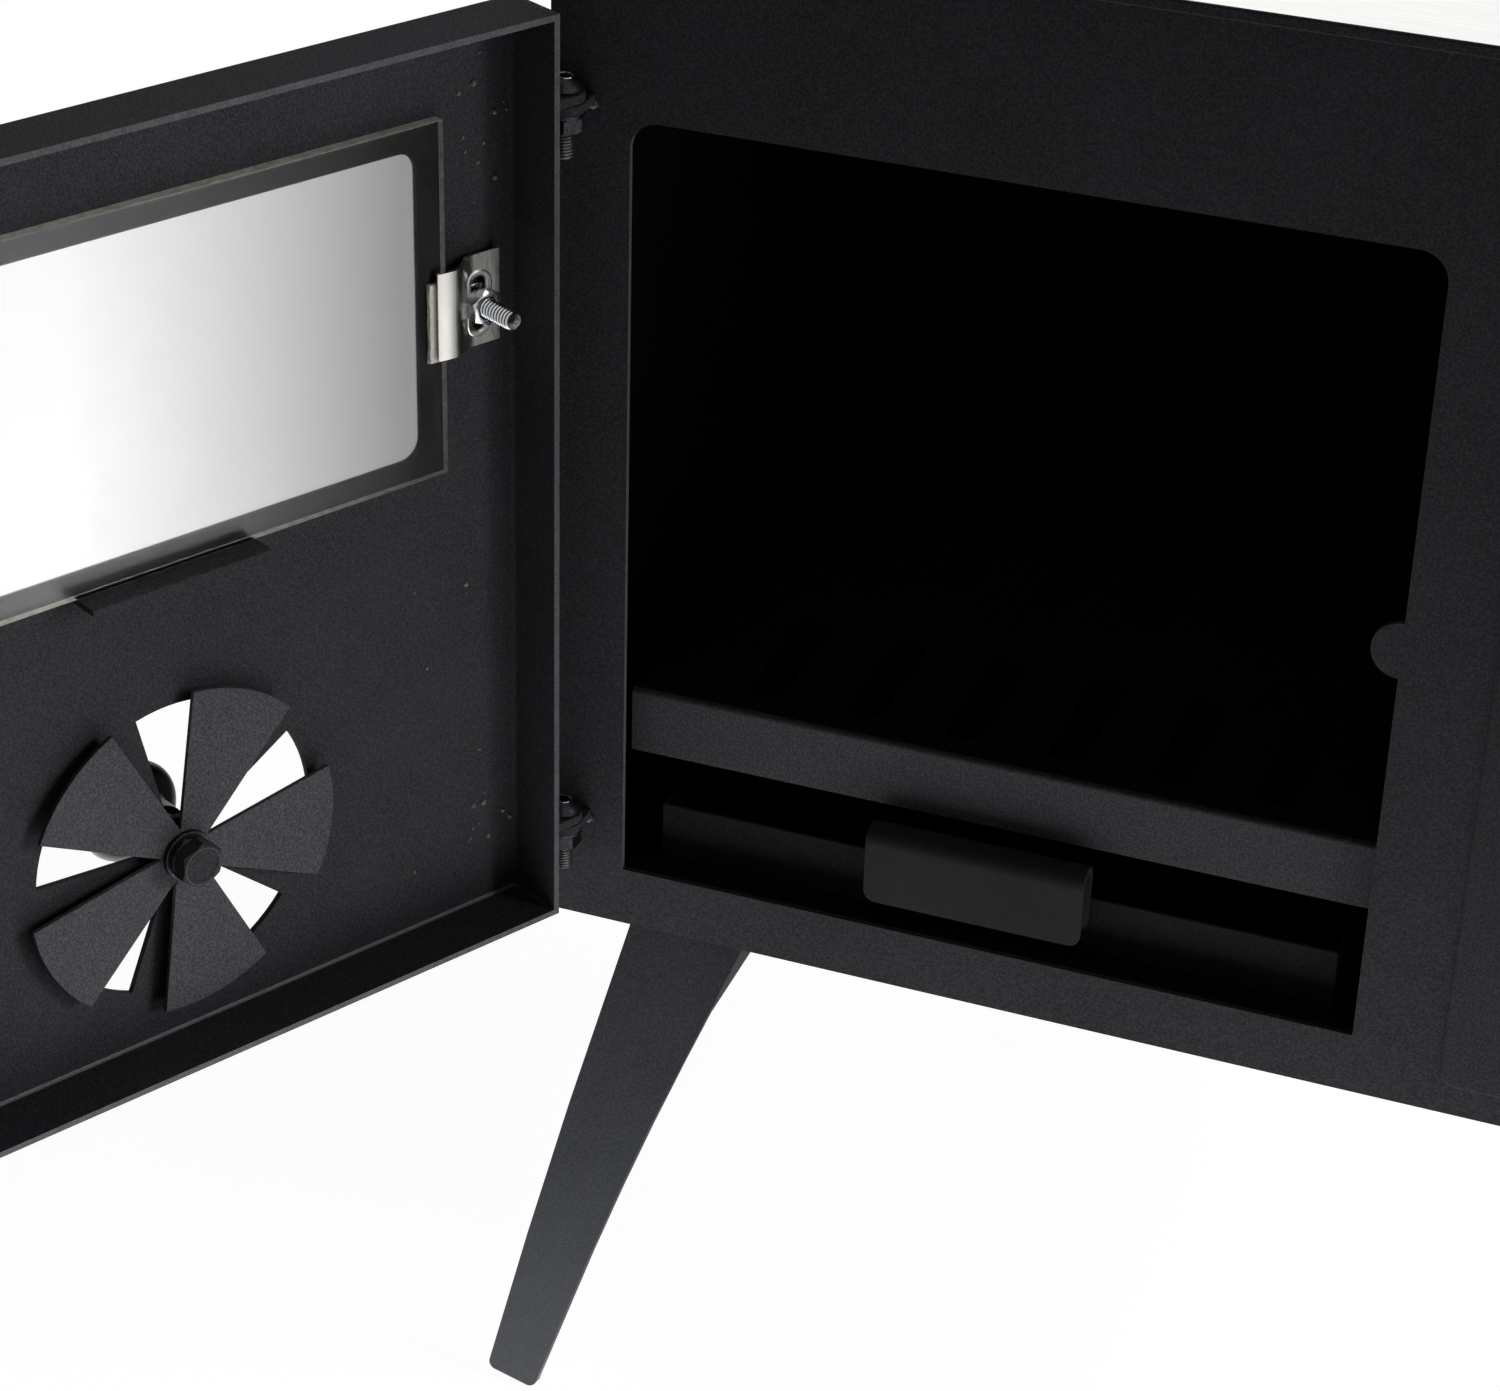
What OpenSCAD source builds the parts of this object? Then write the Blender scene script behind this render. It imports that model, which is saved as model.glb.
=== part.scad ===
// Sheet-steel wood stove with a glazed tray door, an air vent, a grate and an ash drawer.
// The stove is drawn from the lower left corner of its firebox opening: X runs to the right,
// Y runs back into the stove and Z runs up. seat_on_flue() then moves everything so that the
// origin is on the flue's centre line, where the pipe sits on the collar.

/* [Body] */
// Width of the front plate
body_w = 470; // [450:5:560]
// Depth from the front plate to the back plate
body_d = 300; // [290:5:380]
// Steel above the firebox opening
head_h = 57.5; // [50:0.5:80]
// Height of the skirt below the ash floor
skirt_h = 20.5; // [18:0.5:30]
// Thickness of the body's sheet steel
sheet = 2; // [1.5:0.1:2.5]

/* [Firebox opening] */
// Width of the opening
opening_w = 240; // [230:2:250]
// Height of the opening
opening_h = 256; // [246:2:270]
// Steel left of the opening, under the hinges
hinge_strip = 25; // [24:1:34]
// Radius of the two upper corners
opening_r = 9; // [4:1:20]
// Radius of the half-round tab that the latch finger hooks behind
keeper_r = 9; // [7:0.5:9.5]
// Height of the tab above the sill
keeper_z = 133.4; // [120:0.1:138]

/* [Pressed panel] */
// Steel between the opening and the pressed panel
press_gap = 27.7; // [24:0.1:34]
// Steel right of the pressed panel
press_margin = 28; // [20:1:40]
// How far the pressed panel reaches below the sill
press_drop = 10; // [6:0.5:14]
// How far the pressed panel stands proud
press_h = 1.5; // [0.5:0.1:1.8]
// Corner radius of the pressed panel
press_r = 5; // [4:0.5:12]

/* [Smoke baffle] */
// Gap left above the baffle for the smoke
smoke_gap = 60; // [40:2:90]

/* [Hob] */
// How far the top frame stands out all round
overhang = 4; // [2:0.5:8]
// Height of the top frame's rim
rim_h = 3.5; // [3.5:0.1:6]
// Thickness of the top frame's rim
rim_t = 1.2; // [1:0.1:2]
// Width of the ledge that carries the hob plate
hob_ledge = 22; // [18:1:30]
// Thickness of the hob plate
hob_t = 2; // [1.5:0.1:2]

/* [Flue collar] */
// Outer diameter of the collar, which the pipe slides over
flue_d = 80; // [70:1:100]
// Height of the collar above its flange
collar_h = 45; // [30:1:60]
// Wall thickness of the collar and its flange
collar_t = 1.5; // [1.2:0.1:2.5]
// Width of the collar's flange
collar_flange = 18; // [16:1:24]
// Diameter of the collar's screws
collar_screw_d = 5; // [4:0.5:6]

/* [Grate] */
// Height of the grate's top above the sill
grate_z = 60; // [56:1:70]
// Depth of the lip bent down along its front edge
grate_lip = 22.5; // [16:0.5:23]
// Distance of the lip behind the front plate's face
grate_set = 13; // [8:1:20]
// How much wider than the opening the grate is
grate_extra = 5; // [2:1:12]
// Width of a slot
slot_w = 12; // [8:0.5:16]
// Length of a slot
slot_l = 54; // [40:1:70]
// Spacing of the slots across the grate
slot_pitch = 33.3; // [28:0.1:36]
// Spacing of the rows from front to back
row_pitch = 94; // [80:1:110]
// Distance of the first row behind the lip
row_set = 11; // [8:1:20]
// Number of slots in a row
slots = 6; // [4:1:6]

/* [Ash drawer] */
// Gap left and right of the drawer in the opening
drawer_gap = 9; // [6:1:30]
// Gap between the drawer and the back plate
drawer_back_gap = 36; // [20:1:80]
// Height of the drawer
drawer_h = 20; // [14:1:30]
// Thickness of the drawer's sheet steel
drawer_t = 1.2; // [0.8:0.1:2]
// Width of the pull
pull_w = 71; // [50:1:100]
// How far the pull sits left of the drawer's middle
pull_shift = 3; // [0:0.5:10]
// Height of the pull from its lower edge to its rolled top
pull_h = 26; // [20:0.5:27]
// Outer radius of the pull's rolled top
pull_roll = 5.5; // [4:0.25:7]
// Thickness of the pull
pull_t = 1.5; // [1:0.1:2]

/* [Door] */
// How far the closed door covers the front plate beside the opening
lap_side = 8.7; // [7:0.1:9]
// How far it covers the front plate above the opening
lap_top = 36.5; // [20:0.5:40]
// How far it covers the front plate below the sill
lap_bottom = 8.6; // [5:0.1:12]
// Depth of the door's tray
door_depth = 20; // [18:0.5:24]
// Thickness of the door's sheet steel
door_t = 2; // [1.5:0.1:2.5]
// Angle at which the door stands open
door_open = 118; // [0:1:118]
// Gap between the closed door and the front plate
door_gap = 0.3; // [0.2:0.1:1]

/* [Hinges] */
// Distance of the hinge axis left of the opening
hinge_x = 17; // [16:0.5:19]
// Distance of the hinge axis in front of the front plate
hinge_y = 8.5; // [8:0.1:11]
// Diameter of the hinge bolts
hinge_bolt_d = 6; // [5:0.5:6]
// Thickness of a hinge lug
lug_t = 3; // [2:0.5:4]
// Steel around the bolt in a hinge lug
lug_rim = 3; // [2:0.25:3]
// Height of the upper hinge above the sill
hinge_high = 266; // [240:1:275]
// Height of the lower hinge above the sill
hinge_low = 23.5; // [20:0.5:60]

/* [Window] */
// Steel between the window and the door's sides
window_side = 37.4; // [34:0.2:70]
// Height of the window
window_h = 96.8; // [60:0.2:100]
// Height of the window's lower edge above the sill
window_z = 158; // [152:0.5:162]
// Corner radius of the window
window_r = 6.5; // [3:0.5:15]
// How far the glass covers the steel at each side
glass_lap_side = 8; // [4:0.5:9]
// How far the glass covers the steel above the window
glass_lap_top = 8; // [4:0.5:12]
// How far the glass covers the steel below the window
glass_lap_bottom = 6.5; // [4:0.5:9]
// Thickness of the glass
glass_t = 4; // [3:0.5:5]
// Length of the ledge that the glass stands on
ledge_l = 60; // [40:1:120]
// Depth of that ledge
ledge_d = 12; // [8:0.5:14]
// Thickness of the ledge
ledge_t = 2; // [1:0.1:3]

/* [Glass clips] */
// Height of the clips above the sill
clip_z = 202.5; // [185:0.5:225]
// Height of a clip
clip_h = 29; // [24:0.5:40]
// How far a clip sits above its bolt
clip_up = 1.2; // [0:0.1:2]
// Width of a clip's slotted foot
clip_foot = 15.5; // [12:0.5:17]
// Gap between the glass and a clip's foot
clip_gap = 5; // [2:0.5:6.5]
// Width of a clip's bowed leaf
clip_leaf = 11.5; // [11:0.5:16]
// Height of the bow above the pad
clip_bow = 3.4; // [2:0.2:5]
// Thickness of a clip
clip_t = 1.2; // [0.8:0.1:1.5]
// Thickness of the fibre pad between clip and glass
pad_t = 2; // [1:0.25:3]
// Diameter of the clip bolts
clip_bolt_d = 6; // [5:0.5:6]
// How far a clip bolt stands out of its nut
clip_bolt_out = 12; // [6:0.5:14]

/* [Air vent] */
// Height of the vent's centre above the sill
vent_z = 57.2; // [54:0.2:70]
// Number of holes, and of blades
vent_n = 5; // [3:1:6]
// Radius of the blades
vent_r = 53; // [40:0.5:54]
// How much smaller the holes' outer radius is
vent_lap = 5; // [2:0.5:8]
// Radius of the steel left round the vent's bolt
vent_hub = 10; // [9.5:0.5:16]
// Angle of one hole
hole_angle = 34; // [20:1:38]
// How much wider the angle of one blade is
blade_more = 7; // [4:1:14]
// How far the blades are turned from shut
vent_turn = 23; // [0:1:36]
// Thickness of the blades
blade_t = 1.5; // [1:0.1:2.5]
// Gap between the door panel and the blades
blade_gap = 3.6; // [2:0.1:5]
// Diameter of the vent's bolt
vent_bolt_d = 8; // [6:0.5:8]
// Diameter of the vent's knob
knob_d = 33; // [26:0.5:36]
// Length of the vent's knob
knob_l = 22; // [18:0.5:26]

/* [Latch] */
// Distance of the latch shaft inside the opening's edge
latch_set = 18; // [17.5:0.1:19]
// Diameter of the latch shaft
latch_d = 8; // [6:0.5:8]
// Length of the finger that hooks behind the keeper tab
finger_l = 16; // [14:0.5:17]
// Width of the finger
finger_w = 9; // [7:0.5:11]
// Thickness of the finger
finger_t = 3; // [2:0.5:4]
// Distance of the handle's rod in front of the door
handle_out = 24; // [22:0.5:36]
// Diameter of the handle's rod
handle_rod_d = 7; // [5:0.5:8]
// Length from the latch shaft to the handle's end
handle_l = 92; // [80:1:120]
// Length of the handle's grip
grip_l = 62; // [50:1:66]
// Diameter of the handle's grip
grip_d = 20; // [16:0.5:24]

/* [Legs] */
// Height of the stove's skirt above the floor
leg_drop = 166; // [120:0.5:220]
// Width of a leg at the skirt
leg_top_w = 39.3; // [32:0.1:46]
// Width of a leg at the floor
leg_foot_w = 18; // [12:0.5:26]
// Outward lean of the legs, both ways
leg_lean = 15; // [5:0.5:18]
// Distance of a leg's middle from the body's side, at the skirt
leg_in = 47.3; // [44:0.1:80]
// Depth of a leg's side flanges at the top
leg_flange = 22; // [16:0.5:26]
// Depth of the legs' rims below their side flanges
leg_rim = 3.5; // [3:0.5:8]
// Length over which the side flanges narrow to the rims
leg_taper = 26; // [15:1:60]
// How far the legs bow outwards halfway down
leg_bow = 2; // [0:0.25:4]
// How much the legs are waisted halfway down
leg_waist = 0.7; // [0:0.1:2]
// Rise of a foot's outer corner above its inner corner
foot_rise = 2.5; // [0:0.5:5]
// Diameter of the studs that hold the legs
stud_d = 6; // [5:0.5:8]

/* [Hidden] */
$fn = 48;

paint = [0.11, 0.11, 0.12];
dark = [0.06, 0.06, 0.07];
steel = [0.66, 0.67, 0.69];
glass_tint = [0.8, 0.85, 0.87, 0.35];
fibre = [0.93, 0.91, 0.86];

// Clearances: between faces that pass each other, round a fixed bolt, and round a turning shaft
slip = 0.3;
bolt_play = 0.2;
run_play = 0.08;
// Cutting bodies reach this far past what they cut
over = 1;

// Body
left_x = -hinge_strip;
right_x = body_w - hinge_strip;
mid_x = (left_x + right_x) / 2;
top_z = opening_h + head_h;
inner_d = body_d - 2 * sheet;

// The fire side ends as far right of the opening as it starts left of it
baffle_x = opening_w + hinge_strip - sheet;
baffle_h = top_z - smoke_gap;

// Pressed panel: level with the closed door's top
press_x = opening_w + press_gap;
press_w = right_x - press_margin - press_x;
press_z = -press_drop;
press_tall = opening_h + lap_top + press_drop;

// Hob and flue
hob_z = top_z + rim_h;
flue_x = press_x + press_w / 2;
flue_y = body_d * 0.55;
flue_r = flue_d / 2;
collar_z = hob_z + collar_t;
collar_screw_n = 4;
collar_screw_ring = flue_r + collar_flange / 2 + 1;
collar_tail = 8;
screw_grip = hob_t + collar_t;

// Grate
grate_w = opening_w + grate_extra;
grate_x = -grate_extra / 2;
grate_clear = 12;
grate_back = body_d - sheet - slip - grate_clear;
grate_d = grate_back - grate_set;
rows = floor((grate_d - row_set - slot_l - slot_w / 2) / row_pitch) + 1;
rail_drop = 26;
rail_bearing = 9;

// Ash drawer
drawer_x = drawer_gap;
drawer_y = grate_set - 1;
drawer_w = opening_w - 2 * drawer_gap;
drawer_d = body_d - sheet - drawer_back_gap - drawer_y;
drawer_z = slip;
pull_x = opening_w / 2 - pull_w / 2 - pull_shift;
pull_rise = 8;
pull_z = drawer_z + pull_rise;
pull_r = 4;

// Door, in its own frame: s runs from the hinge axis along the door, n towards the body
door_s = hinge_x - lap_side;
door_w = opening_w + 2 * lap_side;
door_z = -lap_bottom;
door_h = opening_h + lap_bottom + lap_top;
edge_n = hinge_y - door_gap;
panel_n = edge_n - door_depth;
outer_n = panel_n - door_t;
door_mid = door_s + door_w / 2;

// Hinges
lug_r = hinge_bolt_d / 2 + lug_rim;
hinge_zs = [hinge_high, hinge_low];
hinge_bolt_l = 21;
hinge_head_d = 12;
hinge_head_h = 4.5;
washer_t = 1.2;

// Window glass and its ledge
window_s = door_s + window_side;
window_w = door_w - 2 * window_side;
glass_s = window_s - glass_lap_side;
glass_w = window_w + 2 * glass_lap_side;
glass_z = window_z - glass_lap_bottom;
glass_h = window_h + glass_lap_bottom + glass_lap_top;

// Glass clips: the foot stands on a washer beside the glass, the leaf bears on the pad
clip_washer_t = 1.6;
clip_foot_n = panel_n + clip_washer_t;
pad_n = panel_n + glass_t;
pad_w = 9;
pad_h = clip_h - 4;
pad_in = 0.8;
clip_leaf_n = pad_n + pad_t;
clip_bolt_s = glass_s - clip_gap - clip_foot / 2;
clip_slot_l = clip_h * 0.62;
clip_steps = 12;
clip_nut_h = 0.8 * clip_bolt_d;

// Air vent
vent_hole_r = vent_r - vent_lap;
vent_step = 360 / vent_n;
vent_phase = 21.5;
blade_angle = hole_angle + blade_more;
blade_n = panel_n + blade_gap;
vent_washer_d = 2 * vent_bolt_d;
vent_washer_t = 1.6;
vent_spring_t = 2.1;
vent_spring_slit = 1.5;
vent_head_h = 5.3;
vent_head_n = blade_n + blade_t + vent_washer_t + vent_spring_t;
vent_nut_h = 6.4;
vent_nut_n = outer_n - slip - vent_nut_h;
knob_n = vent_nut_n - knob_l;
knob_grip = 10;

// Latch
latch_s = hinge_x + opening_w - latch_set;
finger_n = hinge_y + sheet + 0.5;
latch_nut_h = 6.4;
boss_r = 8.5;
boss_l = handle_out + handle_rod_d / 2 + 3;
handle_n = outer_n - handle_out;
cap_nut_h = 7;
// The shaft's two ends, the steel round it in the finger, and the rod's seat in the boss
latch_end = 2;
finger_rim = 2.5;
rod_seat = 1.5;
// The rod ends this far above the grip's lower end
grip_floor = 4;

// Legs
leg_sheet = 2;
leg_plate_over = 8;
leg_plate_w = leg_top_w + leg_plate_over;
leg_plate_d = 42;
leg_plate_y = sheet + 2;
leg_face_y = sheet + 0.2;
leg_plate_z = -sheet - leg_sheet;
floor_z = -skirt_h - leg_drop;
stud_in = 9;
stud_y = leg_plate_y + leg_plate_d - stud_in;
stud_dx = 12;
stud_l = 12;
leg_steps = 8;
// A leg's outline is drawn this far past the skirt and the floor, and then cut
leg_spare = 10;
// Radius of a foot's corners, and the directions between which they are rounded
foot_r = 3;
foot_outer_a = 180;
foot_middle_a = 258;
foot_inner_a = 345;

// ---------- frames ----------

// Puts the origin on the flue's centre line, on the collar's flange
module seat_on_flue() {
    translate([-flue_x, -flue_y, -collar_z]) children();
}

// The door's own frame, turned open round the hinge axis
module on_door() {
    seat_on_flue()
        translate([-hinge_x, -hinge_y, 0])
            rotate([0, 0, -door_open]) children();
}

// Extrudes an outline drawn in X and Z along Y, from y0 by t
module upright(y0, t) {
    translate([0, y0 + t, 0]) rotate([90, 0, 0]) linear_extrude(t) children();
}

// Repeats a child at the left and the right leg of one end, mirrored about the body's middle
module both_sides() {
    children();
    translate([2 * mid_x, 0, 0]) mirror([1, 0, 0]) children();
}

// Repeats a child at the front and the rear
module both_ends() {
    children();
    translate([0, body_d, 0]) mirror([0, 1, 0]) children();
}

// ---------- shared shapes ----------

module rounded_box_outline(w, h, r) {
    translate([r, 0]) square([w - 2 * r, h]);
    translate([0, r]) square([w, h - 2 * r]);
    for (x = [r, w - r], y = [r, h - r]) translate([x, y]) circle(r);
}

module slot_outline(w, l) {
    translate([-w / 2, -(l - w) / 2]) square([w, l - w]);
    for (y = [-1, 1]) translate([0, y * (l - w) / 2]) circle(w / 2);
}

module pie(r, a0, a1) {
    reach = 2 * r;
    intersection() {
        circle(r, $fn = 96);
        polygon([[0, 0], reach * [cos(a0), sin(a0)], reach * [cos((a0 + a1) / 2), sin((a0 + a1) / 2)],
                 reach * [cos(a1), sin(a1)]]);
    }
}

// A low dome of diameter d and height h, standing on z = 0
module dome(d, h) {
    r = (d * d / 4 + h * h) / (2 * h);
    intersection() {
        translate([0, 0, h - r]) sphere(r);
        cylinder(d = d, h = h);
    }
}

module washer(d, bolt_d, t) {
    difference() {
        cylinder(d = d, h = t);
        translate([0, 0, -over]) cylinder(d = bolt_d + 2 * bolt_play, h = t + 2 * over);
    }
}

// A hexagon nut, as wide across its flats as the bolt needs
module hex_nut(bolt_d, h) {
    difference() {
        cylinder(d = hex_corner(bolt_d), h = h, $fn = 6);
        translate([0, 0, -over]) cylinder(d = bolt_d + run_play, h = h + 2 * over);
    }
}
function hex_corner(bolt_d) = (1.5 * bolt_d + 1) / cos(30);

// ---------- body ----------

module opening_outline() {
    square([opening_w, opening_h - opening_r]);
    translate([opening_r, 0]) square([opening_w - 2 * opening_r, opening_h]);
    for (x = [opening_r, opening_w - opening_r])
        translate([x, opening_h - opening_r]) circle(opening_r);
}

module press_outline(inset) {
    translate([press_x + inset, press_z + inset])
        rounded_box_outline(press_w - 2 * inset, press_tall - 2 * inset, press_r - inset);
}

module front_plate() {
    color(paint) seat_on_flue()
        difference() {
            union() {
                upright(0, sheet) {
                    difference() {
                        translate([left_x, -skirt_h]) square([body_w, skirt_h + top_z]);
                        opening_outline();
                    }
                    translate([opening_w, keeper_z]) circle(keeper_r);
                }
                upright(-press_h, press_h) press_outline(0);
            }
            upright(sheet - press_h, press_h + over) press_outline(sheet);
        }
}

module side_wall(x) {
    translate([x, sheet, -skirt_h]) cube([sheet, inner_d, skirt_h + top_z]);
}

module left_side() {
    color(paint) seat_on_flue() side_wall(left_x);
}

module right_side() {
    color(paint) seat_on_flue() side_wall(right_x - sheet);
}

module back_plate() {
    color(paint) seat_on_flue()
        translate([left_x, body_d - sheet, -skirt_h]) cube([body_w, sheet, skirt_h + top_z]);
}

module ash_floor() {
    color(paint) seat_on_flue()
        translate([left_x + sheet, sheet, -sheet]) cube([body_w - 2 * sheet, inner_d, sheet]);
}

module smoke_baffle() {
    color(dark) seat_on_flue()
        translate([baffle_x, sheet, 0]) cube([sheet, inner_d, baffle_h]);
}

// ---------- hob and flue ----------

module top_frame() {
    frame_w = body_w + 2 * overhang;
    frame_d = body_d + 2 * overhang;
    ledge = overhang + hob_ledge;
    color(paint) seat_on_flue()
        translate([left_x - overhang, -overhang, top_z])
            difference() {
                cube([frame_w, frame_d, rim_h]);
                translate([rim_t, rim_t, rim_h - hob_t])
                    cube([frame_w - 2 * rim_t, frame_d - 2 * rim_t, hob_t + over]);
                translate([ledge, ledge, -over])
                    cube([frame_w - 2 * ledge, frame_d - 2 * ledge, rim_h + 2 * over]);
            }
}

module collar_screw_places() {
    for (i = [0:collar_screw_n - 1])
        rotate([0, 0, 45 + i * 360 / collar_screw_n])
            translate([collar_screw_ring, 0, 0]) children();
}

module hob_plate() {
    inset = rim_t + bolt_play - overhang;
    color(steel) seat_on_flue()
        difference() {
            translate([left_x + inset, inset, hob_z - hob_t])
                cube([body_w - 2 * inset, body_d - 2 * inset, hob_t]);
            translate([flue_x, flue_y, hob_z - hob_t - over]) {
                cylinder(r = flue_r + bolt_play, h = hob_t + 2 * over, $fn = 96);
                collar_screw_places()
                    cylinder(d = collar_screw_d + 2 * bolt_play, h = hob_t + 2 * over);
            }
        }
}

module flue_collar() {
    color(paint)
        difference() {
            union() {
                translate([0, 0, -screw_grip - collar_tail])
                    cylinder(r = flue_r, h = screw_grip + collar_tail + collar_h, $fn = 96);
                translate([0, 0, -collar_t])
                    cylinder(r = flue_r + collar_flange, h = collar_t, $fn = 96);
            }
            translate([0, 0, -screw_grip - collar_tail - over])
                cylinder(r = flue_r - collar_t, h = screw_grip + collar_tail + collar_h + 2 * over,
                         $fn = 96);
            collar_screw_places()
                translate([0, 0, -collar_t - over])
                    cylinder(d = collar_screw_d + 2 * bolt_play, h = collar_t + 2 * over);
        }
}

module collar_screws() {
    color(dark) collar_screw_places() {
        dome(2 * collar_screw_d, 0.55 * collar_screw_d);
        translate([0, 0, -screw_grip - collar_screw_d])
            cylinder(d = collar_screw_d, h = screw_grip + collar_screw_d);
    }
}

module collar_nuts() {
    color(dark) collar_screw_places()
        translate([0, 0, -screw_grip - 0.8 * collar_screw_d])
            hex_nut(collar_screw_d, 0.8 * collar_screw_d);
}

// ---------- grate ----------

module grate() {
    color(dark) seat_on_flue()
        difference() {
            union() {
                translate([grate_x, grate_set, grate_z - sheet]) cube([grate_w, grate_d, sheet]);
                translate([grate_x, grate_set, grate_z - grate_lip]) cube([grate_w, sheet, grate_lip]);
            }
            for (row = [0:rows - 1], i = [0:slots - 1])
                translate([opening_w / 2 + (i - (slots - 1) / 2) * slot_pitch,
                           grate_set + row_set + slot_l / 2 + row * row_pitch,
                           grate_z - sheet - over])
                    linear_extrude(sheet + 2 * over) slot_outline(slot_w, slot_l);
        }
}

// An angle under one edge of the grate, reaching out from the wall at wall_x
module grate_rail(wall_x, way) {
    bearing = abs(wall_x - (way > 0 ? grate_x : grate_x + grate_w)) + rail_bearing;
    rail_y = grate_set + 2 * sheet;
    rail_l = grate_back - rail_y;
    color(dark) seat_on_flue() {
        translate([way > 0 ? wall_x : wall_x - bearing, rail_y, grate_z - 2 * sheet])
            cube([bearing, rail_l, sheet]);
        translate([way > 0 ? wall_x : wall_x - sheet, rail_y, grate_z - 2 * sheet - rail_drop])
            cube([sheet, rail_l, rail_drop]);
    }
}

module grate_rail_left() {
    grate_rail(left_x + sheet, 1);
}

module grate_rail_right() {
    grate_rail(baffle_x, -1);
}

// ---------- ash drawer ----------

module ash_drawer() {
    color(paint) seat_on_flue()
        translate([drawer_x, drawer_y, drawer_z])
            difference() {
                cube([drawer_w, drawer_d, drawer_h]);
                translate([drawer_t, drawer_t, drawer_t])
                    cube([drawer_w - 2 * drawer_t, drawer_d - 2 * drawer_t, drawer_h]);
            }
}

// Seen from its side: a strip up the drawer's front, rolled over forwards and down again
module pull_profile() {
    roll_z = pull_h - pull_roll;
    translate([-pull_t, 0]) square([pull_t, roll_z]);
    translate([-2 * pull_roll, 0]) square([pull_t, roll_z]);
    translate([-pull_roll, roll_z])
        intersection() {
            difference() {
                circle(pull_roll);
                circle(pull_roll - pull_t);
            }
            translate([-pull_roll, 0]) square([2 * pull_roll, pull_roll]);
        }
}

module drawer_pull() {
    color(paint) seat_on_flue()
        translate([pull_x, drawer_y, pull_z])
            intersection() {
                rotate([90, 0, 90]) linear_extrude(pull_w) pull_profile();
                upright(-3 * pull_roll, 4 * pull_roll) {
                    translate([0, pull_r]) square([pull_w, pull_h]);
                    translate([pull_r, 0]) square([pull_w - 2 * pull_r, pull_r]);
                    for (x = [pull_r, pull_w - pull_r]) translate([x, pull_r]) circle(pull_r);
                }
            }
}

// ---------- legs ----------

// A leg's edge in the plane of its face, at a height z above the skirt's lower edge
function leg_swell(z, amount) = amount * sin(180 * max(0, min(1, -z / leg_drop)));
function leg_half(z) =
    (leg_top_w + (leg_top_w - leg_foot_w) * z / leg_drop) / 2 - leg_swell(z, leg_waist);
function leg_mid(z) = z * tan(leg_lean) - leg_swell(z, leg_bow);
function leg_edge(z, side, inset) = [leg_mid(z) + side * (leg_half(z) - inset), z / cos(leg_lean)];
function ray(a) = [cos(a), sin(a)];
function arc(centre, r, from, to) =
    [for (i = [0:leg_steps]) centre + r * ray(from + (to - from) * i / leg_steps)];

// The leg's face with its rounded foot; the inset outline runs on past the foot
module leg_outline(inset) {
    low = inset > 0 ? -leg_drop - leg_spare : -leg_drop + foot_rise + foot_r;
    high = skirt_h + leg_spare;
    outer_side = [for (i = [0:leg_steps]) leg_edge(high + (low - high) * i / leg_steps, -1, inset)];
    inner_side = [for (i = [leg_steps:-1:0])
        leg_edge(high + (low - foot_rise * (inset > 0 ? 0 : 1) - high) * i / leg_steps, 1, inset)];
    outer_corner = leg_edge(-leg_drop + foot_rise + foot_r, -1, foot_r);
    inner_corner = leg_edge(-leg_drop + foot_r, 1, foot_r);
    foot = inset > 0 ? [] : concat(arc(outer_corner, foot_r, foot_outer_a, foot_middle_a),
                                   arc(inner_corner, foot_r, foot_middle_a, foot_inner_a));
    polygon(concat(outer_side, foot, inner_side));
}

// The leg from its side: deep flanges under the skirt, narrowing to shallow rims
module leg_depths() {
    high = skirt_h + leg_spare;
    low = -leg_drop - leg_spare;
    polygon([[high, 0], [high, -leg_flange], [0, -leg_flange], [-leg_taper, -leg_rim],
             [low, -leg_rim], [low, 0]]);
}

// The front left leg: a tapered, pressed sheet under a plate that the studs hold
module leg() {
    depth = leg_flange + over;
    translate([left_x + leg_in, 0, 0]) {
        intersection() {
            translate([0, leg_face_y, -skirt_h]) rotate([90 - leg_lean, 0, 0])
                intersection() {
                    difference() {
                        translate([0, 0, -depth]) linear_extrude(depth) leg_outline(0);
                        translate([0, 0, -depth - over])
                            linear_extrude(depth - leg_sheet + over) leg_outline(leg_sheet);
                    }
                    translate([-leg_drop, 0, 0]) rotate([90, 0, 90])
                        linear_extrude(2 * leg_drop) leg_depths();
                }
            translate([-leg_drop, -leg_drop, floor_z - leg_drop])
                cube([2 * leg_drop, 2 * leg_drop, leg_plate_z - floor_z + leg_drop]);
        }
        difference() {
            translate([leg_mid(skirt_h) - leg_plate_w / 2, leg_plate_y, leg_plate_z])
                cube([leg_plate_w, leg_plate_d, leg_sheet]);
            leg_stud_places()
                translate([0, 0, leg_plate_z - over])
                    cylinder(d = stud_d + 2 * bolt_play, h = leg_sheet + 2 * over);
        }
    }
}

module leg_stud_places() {
    for (side = [-1, 1])
        translate([leg_mid(skirt_h) + side * stud_dx, stud_y, 0]) children();
}

module at_each_stud() {
    both_ends() both_sides() translate([left_x + leg_in, 0, 0]) leg_stud_places() children();
}

module leg_front_left() {
    color(paint) seat_on_flue() leg();
}

module leg_front_right() {
    color(paint) seat_on_flue() translate([2 * mid_x, 0, 0]) mirror([1, 0, 0]) leg();
}

module leg_rear_left() {
    color(paint) seat_on_flue() translate([0, body_d, 0]) mirror([0, 1, 0]) leg();
}

module leg_rear_right() {
    color(paint) seat_on_flue()
        translate([2 * mid_x, body_d, 0]) mirror([1, 0, 0]) mirror([0, 1, 0]) leg();
}

module leg_studs() {
    color(steel) seat_on_flue()
        at_each_stud() translate([0, 0, -sheet - stud_l]) cylinder(d = stud_d, h = stud_l);
}

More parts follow.
